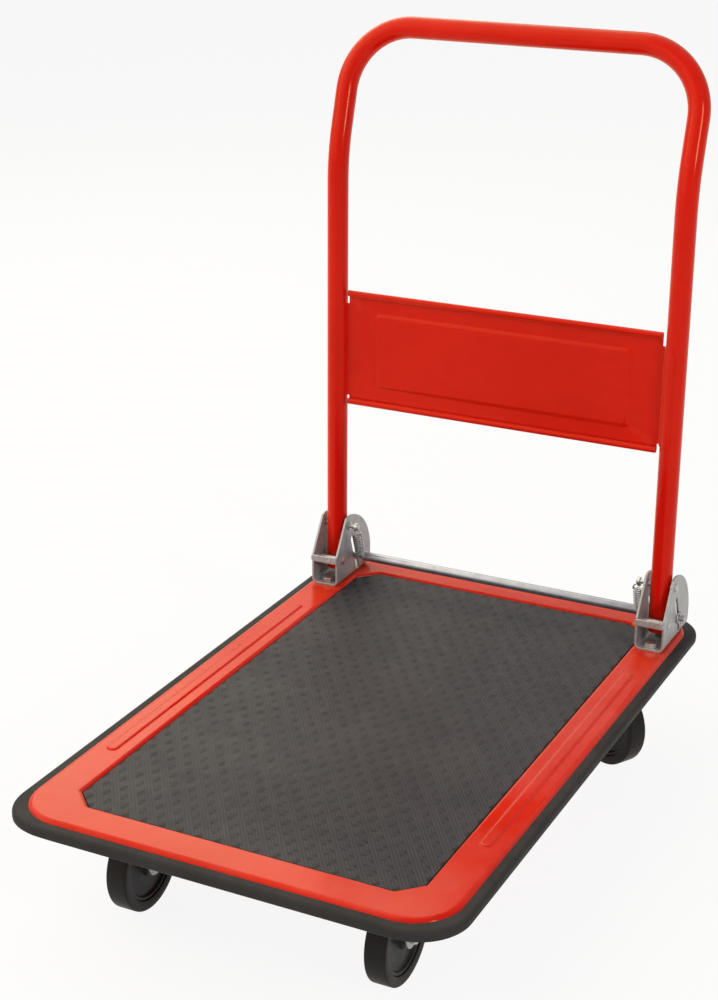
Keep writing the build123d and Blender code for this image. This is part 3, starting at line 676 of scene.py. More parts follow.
def buildMat():
    low, high = boxMm("deck_mat")
    rim, pitch, height = mat["rim"], mat["ribPitch"], mat["ribHeight"]
    ground = high.z - height
    bm = bmesh.new()
    loft(bm, [lift(matOutline(0), low.z), lift(matOutline(0), ground - rim), lift(matOutline(-rim), ground)],
         True, True)
    field = matOutline(-mat["edgeGap"])
    angle = radians(mat["ribAngle"])
    way = Vector((cos(angle), sin(angle)))
    across = Vector((-way.y, way.x))
    count = int((abs(across.x) * high.x + abs(across.y) * high.y) / pitch)
    for k in range(-count, count + 1):
        start = across * (k * pitch)
        near, far = clipLine(start, way, field)
        if far - near < mat["shortRow"]:
            continue
        at, far = near - mat["overrun"], far + mat["overrun"]
        for begin, end in cellsAlong(start, way, at, far) + [(far, far)]:
            if begin - at > mat["shortRib"]:
                addBar(bm, start, way, at, min(begin, far), ground, height, field)
            at = max(at, end)
    addCrossBars(bm, high, ground, Vector((way.x, -way.y)))
    bmesh.ops.dissolve_degenerate(bm, dist=1e-4, edges=bm.edges)
    makePiece(bm, "mat_sheet", "mat_rubber", "deck", ["deck_mat"], sharp=60)


bumper = {
    "outerCorner": 50.0,        # tighter than the pan's corner, so the rubber is thicker there
    # outward from the skirt, down from the deck's top, corner rounding
    "section": [(-1.0, 3.0, 0), (10.0, 3.0, 9.0), (10.0, 12.3, 0.5), (7.7, 12.3, 0.2), (7.7, 12.8, 0.2),
                (8.3, 12.8, 0.3), (8.3, 14.0, 0.6), (1.2, 19.6, 0.8), (-4.5, 19.6, 0.4), (-4.5, 18.1, 0.4),
                (0.02, 18.1, 0), (0.02, 5.4, 0.4), (-1.0, 3.0, 0)],
    "inside": 0.5,              # what lies nearer to the skirt follows the pan's corner
}


def roundSection(section, steps):
    # line of (x, y, corner rounding)
    return roundCorners([(x, y) for x, y, corner in section], [corner for x, y, corner in section], steps)


def buildBumper():
    high = boxMm("deck_pan")[1]
    top = high.z - pan["beadHeight"]
    rings = []
    for out, drop in roundSection(bumper["section"], 7)[:-1]:
        corner = pan["cornerRadius"] + out if out < bumper["inside"] else bumper["outerCorner"]
        rings.append(lift(roundedRing(high.x + out, high.y + out, corner, 16), top - drop))
    bm = bmesh.new()
    loft(bm, rings, ring=True)
    makePiece(bm, "bumper_ring", "bumper_rubber", "deck", ["bumper_strip"], sharp=50)


buildPan()
buildMat()
buildBumper()
print("deck: pan, mat, bumper")


# handle

handle = {
    "tubeRadius": 12.0,
    "tubeWall": 1.5,
    "rim": 0.35,
    "boreDepth": 40.0,
    "tailZ": 147.0,
    "leanCorner": 649.5,
    "barPlace": (-328.54, 788.64),
    "bendRadii": (211.0, 76.5),
    "sides": 48,
}


def buildHandle():
    x = jointMm("handle_fold").x
    radius, rim = handle["tubeRadius"], handle["rim"]
    y = boxMm("handle_tube")[1].y - radius
    lean, top = handle["bendRadii"]
    half = [(x, handle["tailZ"]), (x, handle["leanCorner"]), handle["barPlace"]]
    corners = [(along, -y, z) for along, z in half] + [(along, y, z) for along, z in reversed(half)]
    route = roundCorners(corners, [0, lean, top, top, lean, 0], 28)
    up = Vector((0, 0, 1))
    route = [route[0], route[0] + up * rim, *route[1:-1], route[-1] + up * rim, route[-1]]
    rings = tubeRings(route, radius, handle["sides"])
    ends = []
    for i in (0, -1):    # open tails: rounded rim, then the bore
        lip, inner = [[route[i] + (point - route[i]) * (size / radius) for point in rings[i]]
                      for size in (radius - rim, radius - handle["tubeWall"])]
        ends.append([lip, inner, [point + up * handle["boreDepth"] for point in inner]])
    bm = bmesh.new()
    loft(bm, [*reversed(ends[0]), *rings[1:-1], *ends[1]], True, True)
    makePiece(bm, "handle_loop", "red_paint", "handle", ["handle_tube"], sharp=40)


panel = {
    "sheet": 1.2,
    "rim": 0.25,
    "halfWidth": 188.5,
    "rollRadius": 2.9,          # to the middle of the sheet
    "rollTurn": 288.0,
    "rollCentres": (361.0, 491.0),
    "tabHeights": (367.5, 478.5),
    "tabCorner": 6.0,
    "tabFold": 1.5,
    "tabRadius": 12.68,
    "tabEnd": 96.0,
    "fieldHalf": (155.0, 44.25),
    "fieldCentre": 425.75,
    "fieldCorner": 6.0,
    "fieldProfile": [(-1.6, 0.0), (-0.8, 0.05), (0.0, 0.3), (0.7, 0.85), (2.6, 2.2), (3.3, 2.5), (4.2, 2.6)],
}


def buildPanel():
    plane = jointMm("handle_fold").x
    tubeY = boxMm("handle_tube")[1].y - handle["tubeRadius"]
    half, roll, fold, wrap = panel["halfWidth"], panel["rollRadius"], panel["tabFold"], panel["tabRadius"]
    rollLength = roll * radians(panel["rollTurn"])
    lowRoll, highRoll = panel["rollCentres"]
    lowTab, highTab = panel["tabHeights"]
    startTurn = atan2(fold, wrap)
    flatEnd = tubeY - wrap * cos(startTurn) - fold
    foldEnd = flatEnd + fold * pi / 2
    tabReach = foldEnd + wrap * (radians(panel["tabEnd"]) - startTurn)

    def bend(spot):
        # flat blank (across, up) to the rolled and wrapped sheet; bulge holds the pressed field's rise
        across, up, bulge = spot
        side = 1 if across >= 0 else -1
        reach = abs(across)
        x, y, z = plane + bulge, reach, up
        if reach > foldEnd:
            turn = startTurn + (reach - foldEnd) / wrap
            x = plane + wrap * sin(turn)
            y = tubeY - wrap * cos(turn)
        elif reach > flatEnd:
            turn = (reach - flatEnd) / fold
            x = plane + fold * (1 - cos(turn))
            y = flatEnd + fold * sin(turn)
        for centre, way in ((lowRoll, -1), (highRoll, 1)):
            over = (up - centre) * way
            if over > 0:
                x = plane + roll * (1 - cos(over / roll))
                z = centre + way * roll * sin(over / roll)
        return Vector((x, side * y, z))

    corner = panel["tabCorner"]
    right = [(half, lowRoll - rollLength, 0), (half, lowTab, 0), (tabReach, lowTab, corner),
             (tabReach, highTab, corner), (half, highTab, 0), (half, highRoll + rollLength, 0)]
    outline = right + [(-x, z, radius) for x, z, radius in reversed(right)]
    points = roundCorners([(x, z) for x, z, radius in outline], [radius for x, z, radius in outline], 6, True)
    bm = bmesh.new()
    rim = addRing(bm, lift(points, 0))
    halfX, halfY = panel["fieldHalf"]
    rings = []
    for inset, rise in panel["fieldProfile"]:
        ring = roundedRing(halfX - inset, halfY - inset, panel["fieldCorner"], 6)
        rings.append([Vector((x, z + panel["fieldCentre"], rise)) for x, z in ring])
    field = loft(bm, rings, capEnd=True)
    fillBetween(bm, [rim, field[0]])
    tabCuts = [flatEnd + fold * pi / 2 * share for share in shares(4)]
    tabCuts += [foldEnd + (tabReach - foldEnd) * share for share in shares(12)[1:-1]]
    sliceAt(bm, 0, tabCuts + [-cut for cut in tabCuts])
    rollCuts = [rollLength * share for share in shares(16)[:-1]]
    sliceAt(bm, 1, [lowRoll - cut for cut in rollCuts] + [highRoll + cut for cut in rollCuts])
    for vert in bm.verts:
        vert.co = bend(vert.co)
    bmesh.ops.recalc_face_normals(bm, faces=bm.faces)
    makePiece(bm, "back_panel", "red_paint", "handle", ["handle_panel"], sheet=panel["sheet"],
              sheetOffset=0.0, bevel=panel["rim"], even=True, keepFacing=True, sharp=50)


buildHandle()
buildPanel()
print("handle: tube loop and panel")


# hinge brackets

# forks and plates use it too
foldedSteel = {"sheet": 2.5, "bevel": 0.4, "even": True, "keepFacing": True, "sharp": 50}

bracket = {
    "foldRadius": 7.0,
    "frontX": -252.5,
    "frontEdge": [(172.0, 0.0), (213.5, 25.0), (215.5, 31.5)],    # height, set back from the front
    "frontRounding": [0, 5, 4, 0],
    "crownMiddle": (-325.0, 196.5),
    "rear": [(-342.5, 160.0), (-342.5, 144.0)],
    "heelX": -336.0,
    "slotEnds": [(-308.0, 140.8), (-293.4, 183.0)],    # runs a little into the fold, clear of the pressed rod
    "slotWidth": 7.6,
}


def arcThrough(first, middle, last, steps):
    # points on the circle through three points, from the first to the last
    a, b, c = Vector(first), Vector(middle), Vector(last)
    aa, bb, cc = a.length_squared, b.length_squared, c.length_squared
    x = aa * (b.y - c.y) + bb * (c.y - a.y) + cc * (a.y - b.y)
    y = aa * (c.x - b.x) + bb * (a.x - c.x) + cc * (b.x - a.x)
    d = 2 * (a.x * (b.y - c.y) + b.x * (c.y - a.y) + c.x * (a.y - b.y))
    centre = Vector((x / d, y / d))
    start, end = a - centre, c - centre
    sweep = start.angle(end) * (1 if start.cross(end) > 0 else -1)
    return [centre + Matrix.Rotation(sweep * share, 2) @ start for share in shares(steps)]


def foldedChannel(halfWidth, foldRadius, base, upward):
    # maps a flat blank (along, across) to a channel: base in the middle, walls up or down from it
    flat = halfWidth - foldRadius
    foldLength = foldRadius * pi / 2

    def unfold(height):
        # distance across the blank that ends up at this height from the base
        if height < foldRadius:
            return flat + foldRadius * acos(max(-1.0, 1 - height / foldRadius))
        return flat + foldLength + height - foldRadius

    def bend(along, across):
        side = 1 if across >= 0 else -1
        reach = abs(across)
        if reach <= flat:
            y, height = reach, 0.0
        elif reach <= flat + foldLength:
            turn = (reach - flat) / foldRadius
            y, height = flat + foldRadius * sin(turn), foldRadius * (1 - cos(turn))
        else:
            y, height = halfWidth, foldRadius + reach - flat - foldLength
        return Vector((along, side * y, base + upward * height))

    cuts = [flat + foldLength * share for share in shares(8)]
    return unfold, bend, cuts + [-cut for cut in cuts]


def foldBlank(wall, holes, cuts, bend, way):
    # a blank with two equal sides, cut out, folded and turned so that its base looks up or down
    loops = [wall + [(x, -across) for x, across in reversed(wall)], *holes]
    bm = bmesh.new()
    fillBetween(bm, [addRing(bm, lift(loop, 0)) for loop in loops])
    sliceAt(bm, 1, cuts)
    for vert in bm.verts:
        vert.co = bend(vert.co.x, vert.co.y)
    faceOut(bm, way)
    return bm


def buildBracket():
    low, high = boxMm("hinge_bracket_right")
    unfold, bend, cuts = foldedChannel((high.y - low.y) / 2, bracket["foldRadius"], low.z, 1)
    front = bracket["frontX"]
    edge = [(front - back, z) for z, back in bracket["frontEdge"]]
    rear, (backX, backZ) = bracket["rear"]
    heelX, heelZ = bracket["heelX"], low.z
    profile = roundCorners([(front, low.z), *edge], bracket["frontRounding"], 5)[1:]
    profile += arcThrough(edge[-1], bracket["crownMiddle"], rear, 24)[1:]
    profile += [Vector((backX + (heelX - backX) * share, backZ + (heelZ - backZ) * share))
                for share in shares(6)]
    slot = slotOutline(*bracket["slotEnds"], bracket["slotWidth"])
    wall = [(x, unfold(z - low.z)) for x, z in profile]
    holes = [[(x, way * unfold(z - low.z)) for x, z in slot] for way in (1, -1)]
    bm = foldBlank(wall, holes, cuts, bend, -1)
    bm.transform(Matrix.Translation((0, (low.y + high.y) / 2, 0)))
    return bm


strap = {"corner": 2.5, "rim": 0.6}


def buildStrap():
    low, high = boxMm("hinge_strap_right")
    half, middle = (high - low) / 2, (low + high) / 2
    levels = rounding(strap["rim"], 3)
    levels += [(inset, high.x - low.x - drop) for inset, drop in reversed(levels)]
    rings = []
    for inset, depth in levels:
        ring = roundedRing(half.y - inset, half.z - inset, strap["corner"] - inset, 6)
        rings.append([(low.x + depth, middle.y + y, middle.z + z) for y, z in ring])
    bm = bmesh.new()
    loft(bm, rings, True, True)
    return bm


pin = {
    # a head's flat, upright wall and middle, as shares of its radius, height and radius
    "button": (0.35, 0.3, 0.2),
    "stopHead": (4.5, 1.2),
    "pivotRadius": 4.0,
    "pivotHead": (4.6, 2.5),
    "pivotRounding": [0, 0.5, 0.4, 0.2, 0.2, 0],
    "collar": (5.5, 1.2),
    "knob": (4.2, 1.9, 0.6),
    "neckRadius": 2.8,
    "tabY": 178.2,
    "tabThickness": 2.4,
    "tabRadius": 4.7,
    "lobeRadius": 2.6,
    "lobeDrop": 4.0,
    "eyeRadius": 1.3,
}


def domed(radius, base, height, steps=6):
    # half profile of a low button head, from its rim to the middle
    flat, wall, middle = pin["button"]
    profile = [(radius, base)]
    for share in shares(steps)[1:-1]:
        turn = share * pi / 2
        reach = radius * (flat + (1 - flat) * cos(turn))
        profile.append((reach, base + height * (wall + (1 - wall) * sin(turn))))
    return profile + [(radius * middle, base + height)]


def buildStopPin():
    low, high = boxMm("stop_pin_right")
    centre = (low + high) / 2
    radius, rise = pin["stopHead"]
    span = high.y - low.y
    cap = domed(radius, 0.0, rise)
    profile = [(r, rise - h) for r, h in reversed(cap)] + [(r, span - rise + h) for r, h in cap]
    return lathe(bmesh.new(), profile, 32, alongY(centre.x, low.y, centre.z))


def tabOutline(steps=14):
    # round tab drawn together with the smaller lobe below it
    big, small, drop = pin["tabRadius"], pin["lobeRadius"], pin["lobeDrop"]
    tangent = acos((big - small) / drop)
    flank = 1.5 * pi - tangent
    tab = arc((0, 0), big, tangent - pi / 2, flank, steps)
    return tab + arc((0, -drop), small, flank, 1.5 * pi + tangent, steps)


def buildPivotPin():
    low, high = boxMm("hinge_bracket_right")
    pivot = jointMm("handle_fold")
    radius, neck, thickness = pin["pivotRadius"], pin["neckRadius"], pin["tabThickness"]
    (collar, collarLength), (head, rise), (knob, bulge, seat) = pin["collar"], pin["pivotHead"], pin["knob"]
    start = pin["tabY"] - thickness / 2
    inner, outer = low.y - start, high.y - start
    line = [(neck, thickness / 2), (neck, inner - collarLength), (collar, inner - collarLength),
            (collar, inner), (radius, inner), (radius, outer)]
    profile = [(r, -h) for r, h in reversed(domed(knob, -seat, bulge + seat))] + [(knob, thickness / 2)]
    profile += [*roundCorners(line, pin["pivotRounding"], 3), *domed(head, outer, rise)]
    bm = lathe(bmesh.new(), profile, 36, alongY(pivot.x, start, pivot.z))
    eye = [(spot.x, spot.y - pin["lobeDrop"]) for spot in circle(pin["eyeRadius"], 0, 20)]
    walls = []    # flat tab with a hole: two faces joined round both outlines
    for loop in (tabOutline(), eye):
        walls.append([addRing(bm, [(pivot.x + x, start + depth, pivot.z + z) for x, z in loop])
                      for depth in (0.0, thickness)])
    for near, far in walls:
        bridge(bm, near, far)
    for loops in zip(*walls):
        fillBetween(bm, loops)
    return bm


hexSize = {
    "flat": 6.5,                # half the width across flats
    "head": 5.3,
    "nut": 6.5,
    "shank": 4.0,
    "shankChamfer": 0.7,
    "tip": 2.0,
    "crownInset": 0.35,
    "crownSlope": 1.75,
    "crownStep": 0.22,
    "nutInset": 0.2,
    "nutStep": 0.25,
    "washerFace": (0.1, 0.3, 0.32),   # inset, height, start of the six sides
    "dish": (1.1, 0.05),
}


def hexRing(height, limit, steps=48):
    points = []
    for k in range(steps):
        angle = 2 * pi * k / steps
        local = (angle + pi / 6) % (pi / 3) - pi / 6
        radius = min(hexSize["flat"] / cos(local), limit)
        points.append(Vector((radius * cos(angle), radius * sin(angle), height)))
    return points


def addHex(bm, place, height, isNut):
    # six-sided head or nut whose crown is turned to a cone
    flat, slope = hexSize["flat"], hexSize["crownSlope"]
    crown = flat - hexSize["crownInset"]
    if isNut:
        rises = [hexSize["nutStep"] * k for k in range(1, 4)]
        levels = [(0.0, flat - hexSize["nutInset"])] + [(rise, crown + slope * rise) for rise in rises]
    else:
        inset, face, corners = hexSize["washerFace"]
        levels = [(0.0, flat - inset), (face, flat - inset), (corners, inf)]
    drops = [hexSize["crownStep"] * k for k in range(4, -1, -1)]
    levels += [(height - drop, crown + slope * drop) for drop in drops]
    dishInset, dishRise = hexSize["dish"]
    rings = [hexRing(z, limit) for z, limit in levels] + [circle(crown - dishInset, height + dishRise, 48)]
    loft(bm, [[place @ point for point in ring] for ring in rings], True, True)


def addBolt(bm, place, length):
    # head above local z = 0, shank below
    addHex(bm, place, hexSize["head"], False)
    radius, chamfer = hexSize["shank"], hexSize["shankChamfer"]
    lathe(bm, [(radius, 0.0), (radius, chamfer - length), (radius - chamfer, -length)], 28, place)


def addNut(bm, place, depth=0.0):
    addHex(bm, place @ Matrix.Translation((0, 0, -depth - hexSize["nut"])), hexSize["nut"], True)


def solidBoxes(node):
    # boxes of the separate solids of one node, in the order of its mesh
    bm = bmesh.new()
    bm.from_mesh(frame["nodes"][node].data)
    bmesh.ops.remove_doubles(bm, verts=bm.verts, dist=1e-6)
    left = dict.fromkeys(bm.verts)
    boxes = []
    while left:
        stack = [next(iter(left))]
        del left[stack[0]]
        found = []
        while stack:
            vert = stack.pop()
            found.append(vert.co / mm)
            for edge in vert.link_edges:
                other = edge.other_vert(vert)
                if other in left:
                    del left[other]
                    stack.append(other)
        boxes.append([Vector([pick(point[i] for point in found) for i in range(3)]) for pick in (min, max)])
    bm.free()
    print(" ", node, len(boxes), "solids")
    return boxes


def buildBolts(kind, tilt, firstTurn, stepTurn):
    # a set of bolts, heads up or tilted over to point down, and their nuts
    head = hexSize["head"]
    bm = bmesh.new()
    for k, (low, high) in enumerate(solidBoxes(f"{kind}_bolts")):
        x, y = (low.xy + high.xy) / 2
        seat = low.z + head if tilt else high.z - head
        place = Matrix.Translation((x, y, seat)) @ Matrix.Rotation(tilt, 4, "X")
        turn = Matrix.Rotation(radians(firstTurn + stepTurn * k), 4, "Z")
        addBolt(bm, place @ turn, high.z - low.z - head)
    makePiece(bm, f"{kind}_hex_bolts", "zinc_hardware", "deck", [f"{kind}_bolts"], sharp=25)
    bm = bmesh.new()
    for low, high in solidBoxes(f"{kind}_nuts"):
        x, y = (low.xy + high.xy) / 2
        addNut(bm, Matrix.Translation((x, y, high.z)))
    makePiece(bm, f"{kind}_hex_nuts", "zinc_hardware", "deck", [f"{kind}_nuts"], sharp=25)


bothSides(buildBracket, "bracket", "zinc_sheet", "deck", "hinge_bracket", **foldedSteel)
bothSides(buildStrap, "strap", "zinc_sheet", "deck", "hinge_strap", even=True)
bothSides(buildStopPin, "stop_rivet", "zinc_hardware", "deck", "stop_pin")
bothSides(buildPivotPin, "hinge_pivot", "zinc_hardware", "deck", "pivot_pin")
buildBolts("bracket", 0.0, 17, 23)
print("hinges: brackets, straps, pins, bolts")


# release rod and its springs

rod = {
    "radius": 5.5,
    "neck": 3.5,
    "shoulderY": 173.0,
    "rounding": [0, 0.4, 0.7, 0.7, 0.4, 0],
    "chamfer": 0.8,
    "washer": (7.0, 1.6, 0.35),
    "cotterRadius": 0.62,
    "cotterOffset": 0.5,
    "cotterY": 224.8,
    "eyeRadius": 2.4,
    "eyeTurn": (-110.0, -430.0),
    "eyeGap": 1.0,              # above the neck
    "eyeStart": 0.3,            # below the eye
    "legLength": 9.5,
    "legGap": 0.9,              # below the neck
    "legSplay": 16.0,
    "legRounding": [0, 1.2, 0.6],
}


def buildRod():
    centre = jointMm("rod_press")
    neck, shoulder = rod["neck"], rod["shoulderY"]
    half = [(neck, boxMm("release_rod")[1].y), (neck, shoulder), (rod["radius"], shoulder)]
    line = half + [(radius, -y) for radius, y in reversed(half)]
    bm = lathe(bmesh.new(), roundCorners(line, rod["rounding"], 3), 40, alongY(centre.x, 0, centre.z))
    makePiece(bm, "release_bar", "rod_steel", "release_rod", ["release_rod"])
    start = boxMm("hinge_bracket_right")[1].y - foldedSteel["sheet"]
    end, chamfer = boxMm("rod_ends")[1].y, rod["chamfer"]
    bm = bmesh.new()
    for way in sides.values():
        line = [(neck, start), (neck, end - chamfer), (neck - chamfer, end)]
        lathe(bm, line, 32, alongY(centre.x, 0, centre.z, way))
    makePiece(bm, "rod_end_stubs", "rod_steel", "release_rod", ["rod_ends"])
    radius, thickness, rim = rod["washer"]
    bm = bmesh.new()
    for seat in (shoulder, boxMm("rod_washers")[1].y - thickness):
        for way in sides.values():
            addSleeve(bm, neck, radius, 0.0, thickness, rim, alongY(centre.x, way * seat, centre.z, way), 40)
    makePiece(bm, "rod_flat_washers", "zinc_hardware", "release_rod", ["rod_washers"])


def buildCotters():
    # split pins: one wire doubled back on itself, with an eye and two spread legs
    centre = jointMm("rod_press")
    away = Vector(joints["rod_press"]["axis"])
    tilt = atan2(away.x, away.z) - pi
    offset, eye, neck = rod["cotterOffset"], rod["eyeRadius"], rod["neck"]
    eyeZ = neck + eye + rod["eyeGap"]
    bend = -neck - rod["legGap"]
    splay = radians(rod["legSplay"])
    leg = rod["legLength"] + bend
    half = [(-offset - leg * sin(splay), bend - leg * cos(splay)), (-offset, bend),
            (-offset, eyeZ - eye - rod["eyeStart"])]
    start, end = rod["eyeTurn"]
    loop = arc((0, eyeZ), eye, radians(start), radians(end), 14)
    line = half + loop + [(-x, z) for x, z in reversed(half)]
    radii = rod["legRounding"]
    line = roundCorners([(x, 0, z) for x, z in line], radii + [0] * len(loop) + radii[::-1], 5)
    bm = bmesh.new()
    for way in sides.values():
        place = Matrix.Translation((centre.x, way * rod["cotterY"], centre.z)) @ Matrix.Rotation(tilt, 4, "Y")
        loft(bm, tubeRings([place @ point for point in line], rod["cotterRadius"], 12), True, True)
    makePiece(bm, "split_pins", "zinc_hardware", "release_rod", ["rod_cotters"], sharp=60)


spring = {
    "wire": 0.85,
    "coilRadius": 4.55,
    "turns": 10.5,
    "foot": (-294.2, 165.1),    # ends of the coil's middle line, along and up
    "top": (-287.6, 191.6),
    "coilY": 176.5,
    "ringRadius": 5.7,
    "ringY": 177.2,
    "ringDrop": 9.5,
    "ringPastTop": 40.0,
    "hookRadius": 4.6,
    "hookSlack": 0.25,
    "hookRise": 30.0,
    "pull": 9.0,                # how far the wire's headings reach into the stretches between
    "stepsPerTurn": 36,
}


def ease(start, startWay, end, endWay, steps):
    # smooth stretch of wire between two places with given headings
    points = []
    pull = spring["pull"]
    for t in shares(steps)[1:-1]:
        points.append(start * (2 * t ** 3 - 3 * t ** 2 + 1) + startWay * (pull * (t ** 3 - 2 * t ** 2 + t))
                      + end * (3 * t ** 2 - 2 * t ** 3) + endWay * (pull * (t ** 3 - t ** 2)))
    return points


def buildSpring():
    pivot, rodSpot = jointMm("handle_fold"), jointMm("rod_press")
    turns, coilY = spring["turns"], spring["coilY"]
    foot, top = [Vector((x, coilY, z)) for x, z in (spring["foot"], spring["top"])]
    up = (top - foot).normalized()
    ahead = Vector((up.z, 0, -up.x))
    inward = Vector((0, -1, 0))

    def coil(turn):
        angle = 2 * pi * turn - pi / 2
        spoke = ahead * cos(angle) + inward * sin(angle)
        return foot.lerp(top, turn / turns) + spoke * spring["coilRadius"]

    def heading(turn):
        return (coil(turn + 1e-4) - coil(turn - 1e-4)).normalized()

    hookCentre = Vector((rodSpot.x, coilY, rodSpot.z)) + up * spring["hookSlack"]
    bow = arc((0, 0), spring["hookRadius"], radians(spring["hookRise"]), -pi, 28)
    hook = [hookCentre + ahead * x + up * z for x, z in bow]
    winding = [coil(turns * share) for share in shares(round(turns * spring["stepsPerTurn"]))]
    ringCentre = Vector((pivot.x, spring["ringY"], pivot.z - spring["ringDrop"]))
    bow = arc((0, 0), spring["ringRadius"], -pi / 2, radians(spring["ringPastTop"]), 24)
    ring = [ringCentre + Vector((0, y, z)) for z, y in bow]
    lower = ease(hook[-1], up, winding[0], heading(0), 12)
    upper = ease(winding[-1], heading(turns), ring[0], Vector((0, 0, 1)), 14)
    bm = bmesh.new()
    loft(bm, tubeRings(hook + lower + winding + upper + ring, spring["wire"], 14), True, True)
    return bm


coilFoot, coilTop = [Vector((x, 0, z)) * mm for x, z in (spring["foot"], spring["top"])]
buildRod()
buildCotters()
bothSides(buildSpring, "coil_spring", "spring_steel", "deck", "release_spring", sharp=70,
          blendTo={"body": "release_rod", "start": coilTop, "end": coilFoot})
print("release: rod, washers, split pins, springs")


# wheels, forks and casters

wheel = {
    # radius, half width, corner rounding, from the seat on the hub out to the tread
    "tyre": [(39.6, 8.9, 0.2), (39.6, 10.4, 0.6), (44.0, 10.9, 2.0), (46.5, 11.0, 1.0), (50.0, 11.0, 4.3),
             (50.0, 0.0, 0)],
    # the same from the bore out over the boss and web to the rim
    "hub": [(6.05, 0.0, 0), (6.05, 12.0, 0.5), (11.8, 12.0, 0.8), (13.0, 11.0, 0.8), (14.6, 6.4, 2.0),
            (34.6, 5.8, 2.0), (36.3, 8.8, 0.7), (38.6, 9.0, 0.5), (39.4, 8.6, 0.2), (39.5, 0.0, 0)],
    "spacer": (4.05, 6.0, 0.3),     # inner and outer radius, rim
}


def mirroredProfile(half):
    # a half section and its other side, as one closed line of (radius, height)
    smooth = roundSection(half, 5)
    return smooth + [(radius, -height) for radius, height in reversed(smooth) if abs(height) > 1e-6]


def buildWheel(end, side):
    # the wheel, and the axle bolt, nut and spacer that stay with its fork
    joint = f"{end}_wheel_{side}_spin"
    axis = Vector(joints[joint]["axis"])
    place = Matrix.Translation(jointMm(joint)) @ axis.to_track_quat("Z", "Y").to_matrix().to_4x4()
    for part, slot, steps in (("tyre", "tyre_rubber", 96), ("hub", "hub_plastic", 72)):
        bm = lathe(bmesh.new(), mirroredProfile(wheel[part]), steps, place, True)
        node = f"{end}_wheel_{part}_{side}"
        makePiece(bm, f"{end}_{part}_{side}", slot, f"{end}_wheel_{side}", [node], sharp=45)
    body = "deck" if end == "front" else f"swivel_{side}"
    half = fork["halfGap"]
    grip = half + foldedSteel["sheet"]
    bm = bmesh.new()
    addBolt(bm, place @ Matrix.Translation((0, 0, grip)), 2 * grip + hexSize["nut"] + hexSize["tip"])
    makePiece(bm, f"{end}_axle_{side}", "zinc_hardware", body, [f"{end}_axle_bolt_{side}"], sharp=25)
    bm = bmesh.new()
    addNut(bm, place, grip)
    makePiece(bm, f"{end}_lock_nut_{side}", "zinc_hardware", body, [f"{end}_axle_nut_{side}"], sharp=25)
    inner, outer, rim = wheel["spacer"]
    bm = addSleeve(bmesh.new(), inner, outer, -half, half, rim, place, 32, 2)
    makePiece(bm, f"{end}_spacer_{side}", "zinc_hardware", body, [f"{end}_axle_sleeve_{side}"])


fork = {
    "halfGap": 13.0,
    "foldRadius": 4.5,
    "tipRadius": 12.0,
    "fixedLegs": (28.0, -28.0),
    "swivelLegs": (24.0, -22.0),
    "plateHalf": (42.0, 32.0),
    "plateCorner": 6.0,
    "plateBolts": (32.0, 22.0),
    "plateHole": 4.3,
    "raceRadius": 26.0,
    "raceSheet": 1.5,
    "raceRim": 0.5,
    "raceLift": 0.01,           # off the fork's web
    "skirtRadius": 29.0,
    "kingRadius": 5.0,
    "kingPlay": 0.1,
    "kingHead": (9.0, 2.0),
}


def legTip(trail, height, front, rear):
    # round tip of a leg about the axle, from flank to flank, as (along, down)
    radius = fork["tipRadius"]

    def touch(corner, side):
        away = corner - trail
        return atan2(height, away) + side * acos(radius / hypot(away, height))

    tip = arc((trail, 0), radius, touch(front, -1), touch(rear, 1) - 2 * pi, 20)
    return [(x, height - z) for x, z in tip]


def buildFork(trail, webTop, axleZ, legs):
    # channel folded from a flat blank: web on top, a leg each side of the wheel
    foldRadius = fork["foldRadius"]
    unfold, bend, cuts = foldedChannel(fork["halfGap"] + foldedSteel["sheet"], foldRadius, webTop, -1)
    tip = legTip(trail, webTop - axleZ, *legs)

    def flank(corner, touch):
        # keeps straight through the fold
        drops = [foldRadius * share for share in shares(6)[:-1]]
        return [(corner + (touch[0] - corner) * drop / touch[1], unfold(drop)) for drop in drops]

    front, rear = legs
    wall = flank(front, tip[0]) + [(x, unfold(drop)) for x, drop in tip] + flank(rear, tip[-1])[::-1]
    return foldBlank(wall, [], cuts, bend, 1)


def addPlate(bm, top):
    # flat mounting plate with its four bolt holes, facing up
    boltX, boltY = fork["plateBolts"]
    loops = [addRing(bm, lift(roundedRing(*fork["plateHalf"], fork["plateCorner"], 6), top))]
    for x in (boltX, -boltX):
        for y in (boltY, -boltY):
            hole = circle(fork["plateHole"], top, 24)
            loops.append(addRing(bm, [point + Vector((x, y, 0)) for point in hole]))
    before = set(bm.faces)
    fillBetween(bm, loops)
    added = [face for face in bm.faces if face not in before]
    for face in added:
        face.normal_update()
    bmesh.ops.reverse_faces(bm, faces=[face for face in added if face.normal.z < 0])


def buildFixedCaster(side):
    axle = jointMm(f"front_wheel_{side}_spin")
    top = boxMm(f"fixed_fork_{side}")[1].z
    bm = buildFork(0.0, top - foldedSteel["sheet"], axle.z, fork["fixedLegs"])
    addPlate(bm, top)
    bm.transform(Matrix.Translation((axle.x, axle.y, 0)))
    makePiece(bm, f"fixed_caster_{side}", "zinc_sheet", "deck", [f"fixed_fork_{side}"], **foldedSteel)


